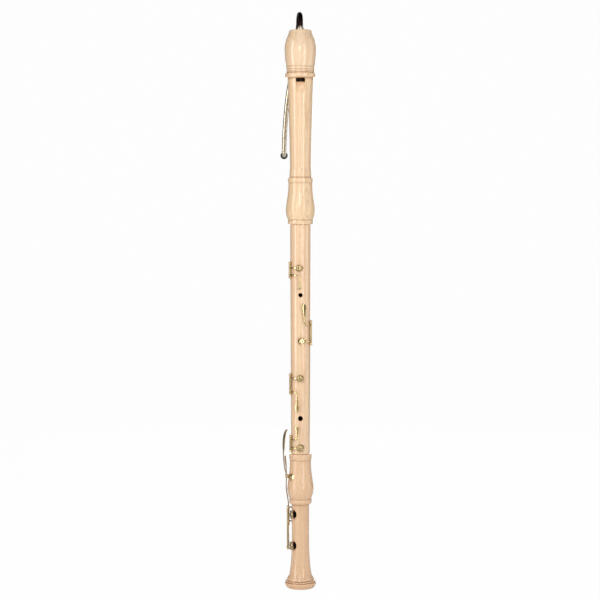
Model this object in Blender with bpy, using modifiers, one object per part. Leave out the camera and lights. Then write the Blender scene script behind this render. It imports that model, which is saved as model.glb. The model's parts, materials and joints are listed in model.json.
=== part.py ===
"""Great bass recorder: four turned maple joints, a bent crook, brass keys on pillars, and little-finger levers.

Metres, +Z up. The instrument stands on the flat end of its foot, whose centre is the origin. The front, with the
window and the finger holes, faces -Y. The thumb side, towards the player, faces +Y."""

import math

import bmesh
import bpy
from mathutils import Matrix, Vector

# Fits
seat_gap = 0.0003  # between pieces that touch
turned_sides = 22
small_sides = 10
arch_steps = 7

# Foot joint
foot_height = 0.292
foot_bore_radius = 0.0105
foot_bore_flare = 0.001
foot_socket_depth = 0.0565
foot_bell_radius = 0.0341
foot_bell_centre = 0.0115
foot_neck_radius = 0.0188
foot_flare_height = 0.125
foot_flare_reach = 0.0123
foot_flare_power = 3.1
foot_bell_shoulder = 0.028
foot_bead_radius = 0.0242
foot_bead_drop = 0.098
foot_bead_width = 0.010
foot_bulge_radius = 0.0284
foot_bulge_drop = 0.074
foot_throat_radius = 0.0230
foot_throat_drop = 0.034
foot_top_bead_radius = 0.0241
foot_top_bead_width = 0.013

# Centre joint
centre_length = 0.4954
centre_low_radius = 0.0202
centre_high_radius = 0.0222
centre_low_bore = 0.0117
centre_high_bore = 0.0148
low_tenon_radius = 0.0160
low_tenon_length = 0.055
high_tenon_radius = 0.0188
high_tenon_length = 0.078
cork_depth = 0.0012
cork_proud = 0.0009
cork_margin = 0.008
tenon_end_room = 0.002

# Head joint
head_length = 0.327
head_bore = 0.0153
head_socket_depth = 0.080
head_low_bead_radius = 0.0271
head_low_bead_width = 0.009
head_bulge_radius = 0.0310
head_bulge_height = 0.028
head_throat_radius = 0.0255
head_throat_height = 0.087
head_ring_radius = 0.0269
head_ring_width = 0.011
head_waist_radius = 0.0225
head_waist_height = 0.126
head_top_radius = 0.0276
head_top_bead_radius = 0.0328
head_top_bead_width = 0.0142
head_tenon_radius = 0.0208
head_tenon_length = 0.045

# Window, ramp and windway
window_width = 0.0194
window_height = 0.008
window_drop = 0.0155
labium_length = 0.025
labium_edge_radius = 0.0159
windway_height = 0.0018
windway_floor_radius = 0.0150

# Cap
cap_length = 0.0867
cap_base_radius = 0.0300
cap_belly_radius = 0.0334
cap_belly_height = 0.049
cap_top_radius = 0.0236
cap_chamber_radius = 0.0200
cap_crown_thickness = 0.014

# Crook
crook_base_radius = 0.0056
crook_radius = 0.0050
crook_rise = 0.019
crook_arch_radius = 0.0185
crook_arch_turn = math.radians(6)
crook_wall = 0.0008
crook_fall = [
    # to the left, to the back, drop below the foot of the arch
    (0.0070, 0.0420, 0.030), (0.0100, 0.0480, 0.060), (0.0150, 0.0565, 0.092), (0.0220, 0.0650, 0.120),
    (0.0300, 0.0790, 0.174), (0.0345, 0.0895, 0.230), (0.0360, 0.0955, 0.270),
]
crook_end_left = 0.0362
crook_end_back = 0.0969
crook_end_drop = 0.280
crook_elbow = 0.0022
crook_end_run = 0.0200
ferrule_wall = 0.0008
ferrule_collar_radius = 0.0080
ferrule_collar_height = 0.0042
crook_cork_wall = 0.0010
mouthpiece_radius = 0.0082
mouthpiece_length = 0.026
mouthpiece_overlap = 0.0070
mouthpiece_bore = 0.0019

# Finger keys, measured from the centre joint's lower shoulder
hinge_azimuth = math.radians(63)
hinge_standoff = 0.0039
hinge_tube_radius = 0.0022
hinge_rod_radius = 0.0009
rod_end_reach = 0.0002
rod_head_rim = 0.0006
rod_head_height = 0.0008
key_opening = math.radians(12)
cup_radius = 0.0075
cup_height = 0.0034
pad_thickness = 0.0020
pad_inset = 0.0009
seat_clearance = 0.0008
arm_half_width = 0.0016
arm_half_thickness = 0.0010
touch_half_thickness = 0.0009
touch_standoff = 0.0037
pillar_ball_radius = 0.0030
pillar_neck_radius = 0.0015
pillar_flange_radius = 0.0027
pillar_shank_radius = 0.0011
pillar_shank_length = 0.0038
spring_radius = 0.0003
spring_offset = 0.0009
spring_past_lug = 0.0012
lug_angle = math.radians(30)
finger_keys = [
    # name, side (-1 left), low and high pillar, hole radius, cup height, cup azimuth,
    # touch arm height, touch tip height, touch azimuth, touch half width
    ("1", -1, 0.3820, 0.4120, 0.0055, 0.4020, -4.0, 0.3870, 0.3560, 4.0, 0.0054),
    ("3", 1, 0.2380, 0.2860, 0.0060, 0.2450, 2.5, 0.2800, 0.3260, 12.5, 0.0050),
    ("4", -1, 0.1315, 0.1715, 0.0058, 0.1650, 2.0, 0.1360, 0.0920, -10.5, 0.0045),
    ("6", -1, 0.0080, 0.0380, 0.0062, 0.0145, 4.0, 0.0320, 0.0620, -11.0, 0.0044),
]
open_holes = [("2", 0.3440, 0.0045), ("5", 0.0780, 0.0053)]

# Thumb side, measured from the centre joint's lower shoulder
thumb_hole_height = 0.428
thumb_hole_radius = 0.0040
bush_wall = 0.0020
bush_length = 0.0062
thumb_rest_height = 0.168
thumb_rest_plate = 0.030
thumb_rest_half_width = 0.0065
thumb_rest_reach = 0.019
thumb_rest_thickness = 0.0014
thumb_rest_wrap = 0.012
sling_post_height = 0.268
sling_ball_radius = 0.0042
sling_flange_radius = 0.0055
sling_standoff = 0.0062
sling_eye_radius = 0.0023
ring_radius = 0.0095
ring_wire_radius = 0.0013

# Foot keys, measured down from the top of the foot
foot_key_azimuth = math.radians(-57)
foot_hinge_azimuth = math.radians(-90)
foot_hinge_standoff = 0.0084
foot_key_opening = math.radians(24)
foot_cup_radius = 0.0092
foot_hole_radius = 0.0078
top_post_drop = 0.117
middle_post_drop = 0.147
bottom_post_drop = 0.207
upper_cup_drop = 0.131
lower_cup_drop = 0.199
upper_tail_drop = 0.124
lower_tail_drop = 0.154
upper_tail_length = 0.0115
lower_tail_length = 0.0165
upper_tip_side = 0.0095
lower_tip_side = 0.0145

# Little-finger levers
pivot_drop = 0.049
pivot_standoff = 0.0048
lever_hub_radius = 0.0024
lever_hub_length = 0.0071
lever_half_width = 0.0015
lever_half_thickness = 0.0011
ear_half_span = 0.0112
ear_stem_radius = 0.0017
long_touch_route = [
    # outward from the pivot, above the pivot, half width, turn towards the front in degrees
    (0.0, 0.0, 0.0015, 0), (0.0022, 0.008, 0.0015, 0), (0.0045, 0.018, 0.0015, 0), (0.0062, 0.032, 0.0015, 4),
    (0.0067, 0.044, 0.0017, 12), (0.0068, 0.053, 0.0033, 22), (0.0066, 0.062, 0.0046, 29),
    (0.0062, 0.071, 0.0050, 30), (0.0055, 0.081, 0.0050, 30), (0.0038, 0.091, 0.0047, 30),
    (0.0010, 0.098, 0.0037, 30), (-0.0012, 0.1005, 0.0017, 30),
]
short_touch_route = [
    (0.0, 0.0, 0.0015, 0), (0.0006, 0.010, 0.0015, 0), (0.0008, 0.017, 0.0015, 6), (0.0012, 0.022, 0.0033, 16),
    (0.0018, 0.028, 0.0048, 20), (0.0026, 0.035, 0.0050, 20), (0.0030, 0.041, 0.0040, 20),
    (0.0026, 0.045, 0.0017, 20),
]
saddle_front_azimuth = math.radians(-49)
saddle_half_width = 0.0078
saddle_thickness = 0.0012
saddle_rise = 0.0003
saddle_screw_rise = 0.0009
screw_head_radius = 0.0026
screw_head_height = 0.0014
screw_slot_floor = 0.0007
screw_slot_half_width = 0.0003
screw_shank_radius = 0.0011
screw_shank_length = 0.006

# Heights that follow
centre_base = foot_height + seat_gap
centre_top = centre_base + centre_length
head_base = centre_top + seat_gap
head_top = head_base + head_length
cap_base = head_top + seat_gap
cap_top = cap_base + cap_length
window_top = head_top - window_drop
window_base = window_top - window_height
low_socket_radius = low_tenon_radius + cork_proud + seat_gap
high_socket_radius = high_tenon_radius + cork_proud + seat_gap
cap_socket_radius = head_tenon_radius + cork_proud + seat_gap
ferrule_bore = crook_base_radius + seat_gap
ferrule_radius = ferrule_bore + ferrule_wall
crook_cork_radius = ferrule_radius + seat_gap + crook_cork_wall
cap_hole_radius = crook_cork_radius + seat_gap
foot_hinge_distance = foot_neck_radius + foot_hinge_standoff

model = bpy.data.collections.new("great_bass_recorder")
cutters = bpy.data.collections.new("cutters")


def clear_scene():
    for old in list(bpy.data.objects):
        bpy.data.objects.remove(old, do_unlink=True)
    bpy.context.scene.collection.children.link(model)
    bpy.context.scene.collection.children.link(cutters)


def finish(name, colour, roughness, metallic=0.0):
    material = bpy.data.materials.new(name)
    material.use_nodes = True
    shader = material.node_tree.nodes["Principled BSDF"]
    shader.inputs["Base Color"].default_value = (*colour, 1.0)
    shader.inputs["Roughness"].default_value = roughness
    shader.inputs["Metallic"].default_value = metallic
    return material


maple = finish("maple", (0.86, 0.62, 0.40), 0.35)
cedar = finish("cedar", (0.55, 0.30, 0.16), 0.7)
cork = finish("cork", (0.62, 0.42, 0.24), 0.9)
brass = finish("brass", (0.83, 0.62, 0.26), 0.22, 1.0)
silver = finish("silver", (0.80, 0.80, 0.80), 0.15, 1.0)
steel = finish("steel", (0.55, 0.56, 0.58), 0.3, 1.0)
black = finish("black_resin", (0.02, 0.02, 0.02), 0.3)
pad_leather = finish("pad_leather", (0.90, 0.84, 0.72), 0.8)


def add_object(name, data, material, collection=model):
    data.materials.append(material)
    made = bpy.data.objects.new(name, data)
    collection.objects.link(made)
    return made


def as_cutter(obj):
    """Keep an object as a hidden tool that only shapes others."""
    for collection in list(obj.users_collection):
        collection.objects.unlink(obj)
    cutters.objects.link(obj)
    obj.hide_render = True
    obj.display_type = "WIRE"
    return obj


def evaluated_mesh(obj):
    """The finished mesh of an object in world space, with loose seams welded."""
    bpy.context.view_layer.update()
    graph = bpy.context.evaluated_depsgraph_get()
    mesh = bpy.data.meshes.new_from_object(obj.evaluated_get(graph), depsgraph=graph)
    mesh.transform(obj.matrix_world)
    work = bmesh.new()
    work.from_mesh(mesh)
    bmesh.ops.remove_doubles(work, verts=work.verts, dist=1e-6)
    work.to_mesh(mesh)
    work.free()
    return mesh


def made_mesh(obj):
    """Replace an object by its finished mesh, placed in world space."""
    mesh = evaluated_mesh(obj)
    name, collection = obj.name, obj.users_collection[0]
    bpy.data.objects.remove(obj, do_unlink=True)
    result = bpy.data.objects.new(name, mesh)
    collection.objects.link(result)
    return result


def boolean(obj, tool, operation):
    modifier = obj.modifiers.new(operation.lower(), "BOOLEAN")
    modifier.operation = operation
    modifier.solver = "EXACT"
    modifier.object = tool
    return modifier


def cut(obj, tools):
    for tool in tools:
        boolean(obj, as_cutter(tool), "DIFFERENCE")
    return obj


def fuse(name, pieces, tools=()):
    """Join overlapping pieces into one body, then cut it with the tools."""
    first = made_mesh(pieces[0])
    others = [made_mesh(piece) for piece in pieces[1:]]
    for other in others:
        boolean(first, other, "UNION")
    for tool in tools:
        boolean(first, tool, "DIFFERENCE")
    result = made_mesh(first)
    for spent in [*others, *tools]:
        bpy.data.objects.remove(spent, do_unlink=True)
    result.name = name
    return result


def turned(name, outline, material, sides=turned_sides, closed=True):
    """A turned shape. The outline, as (radius, height), runs down the outer side and closes up the bore."""
    mesh = bpy.data.meshes.new(name)
    points = [(radius, 0.0, height) for radius, height in outline]
    edges = [(i, i + 1) for i in range(len(points) - 1)]
    if closed:
        edges.append((len(points) - 1, 0))
    mesh.from_pydata(points, edges, [])
    made = add_object(name, mesh, material)
    screw = made.modifiers.new("turning", "SCREW")
    screw.axis = "Z"
    screw.steps = sides
    screw.render_steps = sides
    screw.use_merge_vertices = True
    screw.merge_threshold = 1e-6
    screw.use_smooth_shade = True
    return made


def cylinder(name, radius, low, high, material=steel, sides=small_sides):
    mesh = bpy.data.meshes.new(name)
    work = bmesh.new()
    bmesh.ops.create_cone(
        work, cap_ends=True, segments=sides, radius1=radius, radius2=radius, depth=high - low,
        matrix=Matrix.Translation((0, 0, (low + high) / 2)),
    )
    work.to_mesh(mesh)
    work.free()
    return add_object(name, mesh, material)


def box(name, low, high, material=steel):
    mesh = bpy.data.meshes.new(name)
    work = bmesh.new()
    low, high = Vector(low), Vector(high)
    size = high - low
    place = Matrix.Translation((low + high) / 2) @ Matrix.Diagonal((*size, 1.0))
    bmesh.ops.create_cube(work, size=1.0, matrix=place)
    work.to_mesh(mesh)
    work.free()
    return add_object(name, mesh, material)


def skinned(name, rings, material):
    """A closed body skinned over rings of points, with flat ends."""
    mesh = bpy.data.meshes.new(name)
    work = bmesh.new()
    rings = [[work.verts.new(point) for point in ring] for ring in rings]
    for here, beyond in zip(rings, rings[1:]):
        for i in range(len(here)):
            j = (i + 1) % len(here)
            work.faces.new((here[i], here[j], beyond[j], beyond[i]))
    work.faces.new(rings[0])
    work.faces.new(rings[-1])
    bmesh.ops.recalc_face_normals(work, faces=work.faces)
    work.to_mesh(mesh)
    work.free()
    return add_object(name, mesh, material)


def bar(name, stations, material, sides=6):
    """A bar with an oval section, lofted through (centre, half width vector, half thickness vector)."""
    angles = [2 * math.pi * (i + 0.5) / sides for i in range(sides)]
    rings = [
        [centre + across * math.cos(angle) + through * math.sin(angle) for angle in angles]
        for centre, across, through in stations
    ]
    return skinned(name, rings, material)


def wire(name, points, radius, material, resolution=2, thickness=None, caps=True):
    """A round wire along the points. Without caps it is an open skin, for a tube."""
    curve = bpy.data.curves.new(name, "CURVE")
    curve.dimensions = "3D"
    curve.bevel_depth = radius
    curve.bevel_resolution = resolution
    curve.use_fill_caps = caps
    spline = curve.splines.new("POLY")
    spline.points.add(len(points) - 1)
    for i, place in enumerate(points):
        spline.points[i].co = (*place, 1.0)
        spline.points[i].radius = thickness[i] if thickness else 1.0
    return add_object(name, curve, material)


def smooth(points, steps):
    """Points along a smooth curve that passes through the given ones."""
    points = [Vector(p) for p in points]
    ends = [points[0] * 2 - points[1], *points, points[-1] * 2 - points[-2]]
    result = []
    for a, b, c, d in zip(ends, ends[1:], ends[2:], ends[3:]):
        for i in range(steps):
            t = i / steps
            result.append(
                0.5 * (2 * b + (c - a) * t + (2 * a - 5 * b + 4 * c - d) * t**2 + (3 * b - a - 3 * c + d) * t**3)
            )
    return [*result, points[-1]]


def bead(low, high, base_radius, bead_radius, steps=3):
    """A half-round bead on a turned outline, from its top to its bottom."""
    middle, half = (low + high) / 2, (high - low) / 2
    rise = bead_radius - base_radius
    angles = [math.pi * i / steps for i in range(steps + 1)]
    return [(base_radius + rise * math.sin(a) ** 0.6, middle + half * math.cos(a)) for a in angles]


def radius_at(outline, height):
    """The radius of an outline, which runs from top to bottom, at a height."""
    for (r1, z1), (r2, z2) in zip(outline, outline[1:]):
        if z2 <= height <= z1 and z1 > z2:
            return r1 + (r2 - r1) * (z1 - height) / (z1 - z2)
    raise ValueError(f"no outline at {height}")


def around(azimuth, distance, height):
    """A point round the bore's axis: azimuth 0 is the front, and positive is towards +X."""
    return Vector((distance * math.sin(azimuth), -distance * math.cos(azimuth), height))


def outward_frame(azimuth, distance, height):
    """A placement whose Z points away from the bore's axis and whose Y points up."""
    out = around(azimuth, 1.0, 0.0)
    side = Vector((math.cos(azimuth), math.sin(azimuth), 0.0))
    frame = Matrix((side, (0, 0, 1), out)).transposed().to_4x4()
    return Matrix.Translation(around(azimuth, distance, height)) @ frame


def placed(obj, matrix):
    obj.matrix_world = matrix
    return obj


def foot_flare(height):
    """The foot's radius between its neck and its bell."""
    share = max(0.0, 1.0 - height / foot_flare_height)
    return foot_neck_radius + foot_flare_reach * share**foot_flare_power


def foot_outline():
    top_bead_low = foot_height - foot_top_bead_width
    bead_high = foot_height - foot_bead_drop
    bead_low = bead_high - foot_bead_width
    bulge = smooth(
        [
            (foot_throat_radius - 0.0002, top_bead_low - 0.002),
            (foot_throat_radius + 0.0003, foot_height - foot_throat_drop),
            (foot_bulge_radius - 0.0019, foot_height - foot_bulge_drop + 0.016),
            (foot_bulge_radius, foot_height - foot_bulge_drop),
            (foot_bulge_radius - 0.0016, bead_high + 0.011),
            (foot_bead_radius - 0.0006, bead_high + 0.0005),
        ],
        2,
    )
    neck_top = bead_low - 0.006
    column = [(foot_neck_radius, neck_top)]
    heights = [foot_flare_height - (foot_flare_height - foot_bell_shoulder) * i / 4 for i in range(5)]
    column += [(foot_flare(height), height) for height in heights]
    shoulder = foot_flare(foot_bell_shoulder)
    lip = foot_bell_radius - shoulder
    bell = [
        (shoulder + lip * 0.38, foot_bell_shoulder - 0.0066),
        (shoulder + lip * 0.36, foot_bell_shoulder - 0.0080),
        (shoulder + lip * 0.58, foot_bell_shoulder - 0.0090),
        (shoulder + lip * 0.56, foot_bell_shoulder - 0.0108),
        (foot_bell_radius - 0.0016, foot_bell_centre + 0.0044),
        (foot_bell_radius, foot_bell_centre),
        (foot_bell_radius - 0.0004, foot_bell_centre - 0.0050),
        (foot_bell_radius - 0.0014, 0.0014),
        (foot_bell_radius - 0.0026, 0.0),
    ]
    return [
        *bead(top_bead_low, foot_height, foot_top_bead_radius - 0.0012, foot_top_bead_radius),
        (foot_throat_radius - 0.0006, top_bead_low - 0.0008),
        *[tuple(p) for p in bulge],
        *bead(bead_low, bead_high, foot_bead_radius - 0.0014, foot_bead_radius),
        (foot_neck_radius + 0.0012, bead_low - 0.0012),
        *column,
        *bell,
    ]


def foot_socket_floor():
    return foot_height - foot_socket_depth


foot_profile = foot_outline()


def make_foot_joint():
    inner = [
        (foot_bore_radius, 0.0),
        (foot_bore_radius + foot_bore_flare, foot_socket_floor()),
        (low_socket_radius, foot_socket_floor()),
        (low_socket_radius, foot_height),
    ]
    foot = turned("foot_joint", foot_profile + inner, maple)
    tools = []
    for label, drop in (("upper", upper_cup_drop), ("lower", lower_cup_drop)):
        height = foot_height - drop
        tools += seat_tools(
            f"{label}_foot", foot_key_azimuth, height, radius_at(foot_profile, height), foot_cup_radius,
            foot_hole_radius,
        )
    for label, drop in (("top", top_post_drop), ("middle", middle_post_drop), ("bottom", bottom_post_drop)):
        height = foot_height - drop
        tools.append(shank_tool(f"{label}_post", foot_hinge_azimuth, radius_at(foot_profile, height), height))
    for azimuth in saddle_screw_azimuths():
        tools.append(shank_tool("saddle_screw", azimuth, saddle_surface(), pivot_height(), screw_shank_length))
    return cut(foot, tools)


def seat_depth(surface, radius):
    """How far below a round surface a flat seat of the given radius lies."""
    return surface - math.sqrt(surface**2 - radius**2)


def seat_distance(surface, radius):
    return surface - seat_depth(surface, radius + seat_clearance)


def seat_tools(label, azimuth, height, surface, seat_radius, hole_radius):
    """The flat seat under a key's cup and the tone hole in it."""
    distance = seat_distance(surface, seat_radius)
    frame = outward_frame(azimuth, distance, height)
    flat = placed(cylinder(f"{label}_seat", seat_radius + seat_clearance, 0.0, 0.02, sides=12), frame)
    hole = placed(cylinder(f"{label}_hole", hole_radius, -distance, 0.01, sides=12), frame)
    return [flat, hole]


def shank_tool(label, azimuth, surface, height, length=pillar_shank_length):
    radius = pillar_shank_radius + seat_gap
    tool = cylinder(f"{label}_shank_hole", radius / math.cos(math.pi / 6), -length - seat_gap, 0.004, sides=6)
    return placed(tool, outward_frame(azimuth, surface, height))


def centre_radius(above_shoulder):
    share = above_shoulder / centre_length
    return centre_low_radius + (centre_high_radius - centre_low_radius) * share


def tenon(radius, near, far):
    """The outline of a tenon from its shoulder outwards, with a groove for its cork."""
    direction = math.copysign(1.0, far - near)
    groove_start, groove_end = near + direction * cork_margin, far - direction * cork_margin
    return [
        (radius, near),
        (radius, groove_start),
        (radius - cork_depth, groove_start),
        (radius - cork_depth, groove_end),
        (radius, groove_end),
        (radius - 0.0004, far),
    ]


def make_centre_joint():
    top, base = centre_top, centre_base
    outer = [
        *reversed(tenon(high_tenon_radius, top, top + high_tenon_length)),
        (centre_high_radius - 0.0006, top),
        (centre_high_radius, top - 0.0008),
        (centre_low_radius, base + 0.0008),
        (centre_low_radius - 0.0006, base),
        *tenon(low_tenon_radius, base, base - low_tenon_length),
    ]
    inner = [(centre_low_bore, base - low_tenon_length), (centre_high_bore, top + high_tenon_length)]
    centre = turned("centre_joint", outer + inner, maple)
    tools = []
    for name, side, low, high, hole, cup, cup_turn, *_ in finger_keys:
        azimuth = math.radians(cup_turn)
        tools += seat_tools(f"key_{name}", azimuth, base + cup, centre_radius(cup), cup_radius, hole)
        for height in (low, high):
            tools.append(
                shank_tool(f"pillar_{name}", side * hinge_azimuth, centre_radius(height), base + height)
            )
    for name, height, radius in open_holes:
        hole = cylinder(f"hole_{name}", radius, 0.0, centre_radius(height) + 0.005, sides=12)
        tools.append(placed(hole, outward_frame(0.0, 0.0, base + height)))
    bush_hole = cylinder("bush_hole", thumb_hole_radius + bush_wall + seat_gap, 0.0, 0.03, sides=12)
    tools.append(placed(bush_hole, outward_frame(math.pi, 0.0, base + thumb_hole_height)))
    for label, height, length in (
        ("sling", sling_post_height, pillar_shank_length),
        ("thumb_rest", thumb_rest_screw_height(), screw_shank_length - thumb_rest_thickness),
    ):
        tools.append(shank_tool(label, math.pi, centre_radius(height), base + height, length))
    return cut(centre, tools)


def make_corks():
    for name, radius, near, far in (
        ("upper_cork", high_tenon_radius, centre_top, centre_top + high_tenon_length),
        ("lower_cork", low_tenon_radius, centre_base, centre_base - low_tenon_length),
        ("cap_cork", head_tenon_radius, head_top, head_top + head_tenon_length),
    ):
        low, high = sorted((near, far))
        low, high = low + cork_margin + seat_gap, high - cork_margin - seat_gap
        inner = radius - cork_depth + seat_gap
        outer = radius + cork_proud
        turned(name, [(outer, high), (outer, low), (inner, low), (inner, high)], cork)


def head_outline():
    base, top = head_base, head_top
    bulge_low = base + head_low_bead_width
    ring_low = base + head_throat_height + 0.002
    ring_high = ring_low + head_ring_width
    bead_low = top - head_top_bead_width
    body = smooth(
        [
            (head_top_radius, bead_low - 0.0012),
            (head_top_radius - 0.0017, base + head_waist_height + 0.138),
            (head_waist_radius + 0.0010, base + head_waist_height + 0.056),
            (head_waist_radius, base + head_waist_height),
            (head_waist_radius + 0.0009, ring_high + 0.008),
            (head_ring_radius - 0.0014, ring_high),
        ],
        1,
    )
    bulge = smooth(
        [
            (head_throat_radius, base + head_throat_height),
            (head_throat_radius + 0.0016, base + head_throat_height - 0.022),
            (head_bulge_radius - 0.0012, base + head_bulge_height + 0.017),
            (head_bulge_radius, base + head_bulge_height),
            (head_bulge_radius - 0.0011, bulge_low + 0.008),
            (head_low_bead_radius - 0.0002, bulge_low + 0.0008),
        ],
        2,
    )
    return [
        *bead(bead_low, top, head_top_bead_radius - 0.0016, head_top_bead_radius),
        (head_top_radius + 0.0008, bead_low - 0.0004),
        *[tuple(p) for p in body],
        *bead(ring_low, ring_high - 0.0006, head_ring_radius - 0.0014, head_ring_radius),
        (head_throat_radius + 0.0002, ring_low - 0.0006),
        *[tuple(p) for p in bulge],
        *bead(base, bulge_low, head_low_bead_radius - 0.0012, head_low_bead_radius),
    ]


def make_head_joint():
    inner = [
        (high_socket_radius, head_base),
        (high_socket_radius, head_base + head_socket_depth),
        (head_bore, head_base + head_socket_depth),
        (head_bore, head_top + head_tenon_length),
    ]
    outer = [*reversed(tenon(head_tenon_radius, head_top, head_top + head_tenon_length)), *head_outline()]
    head = turned("head_joint", outer + inner, maple)
    half, front = window_width / 2, -head_top_bead_radius - 0.005
    window = box("window", (-half, front, window_base), (half, -head_bore / 2, window_top))
    roof = labium_edge_radius + windway_height / 2
    windway = box(
        "windway", (-half, -roof, window_top - 0.001), (half, -head_bore / 2, head_top + head_tenon_length + 0.001)
    )
    return cut(head, [window, windway, labium_tool(half, front)])


def labium_tool(half, front):
    """A wedge that cuts the ramp, from the labium's edge down to the surface."""
    surface = head_top_radius - 0.0008
    slope = labium_length / (surface - labium_edge_radius)
    edge = (-labium_edge_radius, window_base + 0.0002)
    outline = [edge, (front, edge[1]), (front, edge[1] - slope * (-front - labium_edge_radius))]
    curve = bpy.data.curves.new("labium", "CURVE")
    curve.dimensions = "2D"
    curve.fill_mode = "BOTH"
    curve.extrude = half
    spline = curve.splines.new("POLY")
    spline.points.add(len(outline) - 1)
    for point, (across, height) in zip(spline.points, outline):
        point.co = (across, height, 0.0, 1.0)
    spline.use_cyclic_u = True
    wedge = add_object("labium", curve, steel)
    wedge.matrix_world = Matrix(((0, 0, 1), (1, 0, 0), (0, 1, 0))).to_4x4()
    return made_mesh(wedge)


def make_block():
    """The plug in the head's bore, whose raised floor fills the windway up to its height."""
    low, high = window_top, head_top + head_tenon_length
    radius = head_bore - seat_gap
    plug = cylinder("block", radius, low, high, cedar, sides=turned_sides)
    half = window_width / 2 - seat_gap
    floor = box("block_floor", (-half, -windway_floor_radius, low), (half, 0.0, high), cedar)
    return fuse("block", [plug, floor])


def cap_outline():
    rise = cap_length - cap_belly_height
    crown = smooth(
        [
            (cap_top_radius + 0.0008, cap_top - 0.0022),
            (cap_top_radius + 0.0032, cap_top - rise * 0.22),
            (cap_belly_radius - 0.0022, cap_top - rise * 0.58),
            (cap_belly_radius, cap_base + cap_belly_height),
            (cap_belly_radius - 0.0010, cap_base + cap_belly_height * 0.55),
            (cap_base_radius + 0.0004, cap_base + 0.0095),
        ],
        2,
    )
    return [
        (cap_top_radius - 0.0022, cap_top),
        (cap_top_radius - 0.0004, cap_top - 0.0006),
        *[tuple(p) for p in crown],
        (cap_base_radius - 0.0004, cap_base + 0.0088),
        (cap_base_radius + 0.0002, cap_base + 0.0078),
        (cap_base_radius - 0.0002, cap_base + 0.0030),
        (cap_base_radius - 0.0008, cap_base),
    ]


def make_cap():
    socket_top = cap_base + head_tenon_length + tenon_end_room
    chamber_top = cap_top - cap_crown_thickness
    inner = [
        (cap_socket_radius, cap_base),
        (cap_socket_radius, socket_top),
        (cap_chamber_radius, socket_top),
        (cap_chamber_radius, chamber_top),
        (cap_hole_radius, chamber_top),
        (cap_hole_radius, cap_top),
    ]
    return turned("cap", cap_outline() + inner, maple)


def crook_route():
    """The crook's centre line: up from the cap, over an arch, down behind the head and towards the player."""
    arch_base = cap_top + crook_rise - 0.002
    rise = [(0, 0, cap_top - cap_crown_thickness + 0.003), (0, 0, cap_top + 0.004), (0, 0, arch_base)]
    arch = []
    for i in range(1, arch_steps + 1):
        angle = math.pi * i / arch_steps
        away = crook_arch_radius * (1 - math.cos(angle))
        height = arch_base + crook_arch_radius * math.sin(angle)
        arch.append((-away * math.sin(crook_arch_turn), away * math.cos(crook_arch_turn), height))
    end = arch_base - crook_end_drop
    fall = smooth(
        [
            arch[-1],
            *[(-left, back, arch_base - drop) for left, back, drop in crook_fall],
            (-crook_end_left, crook_end_back + crook_elbow * 1.6, end + crook_elbow),
            (-crook_end_left, crook_end_back + crook_end_run * 0.58, end),
            (-crook_end_left, crook_end_back + crook_end_run, end),
        ],
        2,
    )
    return rise, arch, fall


def make_crook():
    rise, arch, fall = crook_route()
    points = rise + arch[:-1] + fall
    slim = crook_radius / crook_base_radius
    ease = len(rise) + len(arch)
    thickness = [1.0 + (slim - 1.0) * min(1.0, i / ease) for i in range(len(points))]
    tube = made_mesh(wire("crook_tube", points, crook_base_radius, silver, 2, thickness, caps=False))
    wall = tube.modifiers.new("wall", "SOLIDIFY")
    wall.thickness = crook_wall
    wall.offset = -1.0
    make_ferrule()
    make_mouthpiece(points[-1])


def make_ferrule():
    low = cap_top - cap_crown_thickness + 0.001
    collar = cap_top + seat_gap
    turned(
        "crook_ferrule",
        [
            (ferrule_bore, collar + ferrule_collar_height + 0.0022),
            (ferrule_radius, collar + ferrule_collar_height + 0.0022),
            (ferrule_radius + 0.0004, collar + ferrule_collar_height + 0.0004),
            (ferrule_collar_radius - 0.0008, collar + ferrule_collar_height),
            (ferrule_collar_radius, collar + ferrule_collar_height * 0.55),
            (ferrule_collar_radius - 0.0003, collar),
            (ferrule_radius, collar),
            (ferrule_radius, low),
            (ferrule_bore, low),
        ],
        silver, sides=12,
    )
    inner, outer = ferrule_radius + seat_gap, crook_cork_radius
    turned(
        "crook_cork",
        [(outer, cap_top - 0.001), (outer, low + 0.001), (inner, low + 0.001), (inner, cap_top - 0.001)],
        cork, sides=12,
    )


def make_mouthpiece(end):
    """A black tip over the end of the crook, with a broad rim towards the instrument."""
    socket = crook_radius + seat_gap
    overlap = mouthpiece_overlap
    outline = [
        (0.0036, mouthpiece_length - overlap),
        (0.0050, mouthpiece_length - overlap - 0.0008),
        (0.0060, mouthpiece_length - overlap - 0.006),
        (0.0066, 0.002),
        (mouthpiece_radius - 0.0004, -0.001),
        (mouthpiece_radius, -0.0035),
        (mouthpiece_radius - 0.0005, -overlap),
        (socket, -overlap),
        (socket, seat_gap),
        (mouthpiece_bore, seat_gap),
        (mouthpiece_bore, mouthpiece_length - overlap),
    ]
    tip = turned("mouthpiece", outline, black, sides=12)
    return placed(tip, Matrix.Translation(end) @ Matrix.Rotation(-math.pi / 2, 4, "X"))


def cup(label, radius, frame):
    """A key's cup: a shallow cap with a raised rim and a nipple, over its pad."""
    rim = cup_height
    outline = [
        (0.0, rim + 0.0022),
        (0.0014, rim + 0.0012),
        (0.0020, rim + 0.0003),
        (radius - 0.0022, rim - 0.0002),
        (radius - 0.0012, rim + 0.0003),
        (radius, rim - 0.0007),
        (radius, pad_inset + 0.0003),
        (radius - 0.0006, pad_inset + 0.0003),
        (radius - 0.0006, pad_thickness + 2 * seat_gap),
        (0.0, pad_thickness + 2 * seat_gap),
    ]
    return placed(turned(f"{label}_cup", outline, brass, sides=12, closed=False), frame)


def pad(name, radius, frame):
    rim = radius - 0.0006 - seat_gap
    low, high = seat_gap, seat_gap + pad_thickness
    outline = [(0.0, high), (rim, high), (rim, low), (0.0, low)]
    return made_mesh(placed(turned(name, outline, pad_leather, sides=12, closed=False), frame))


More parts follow.
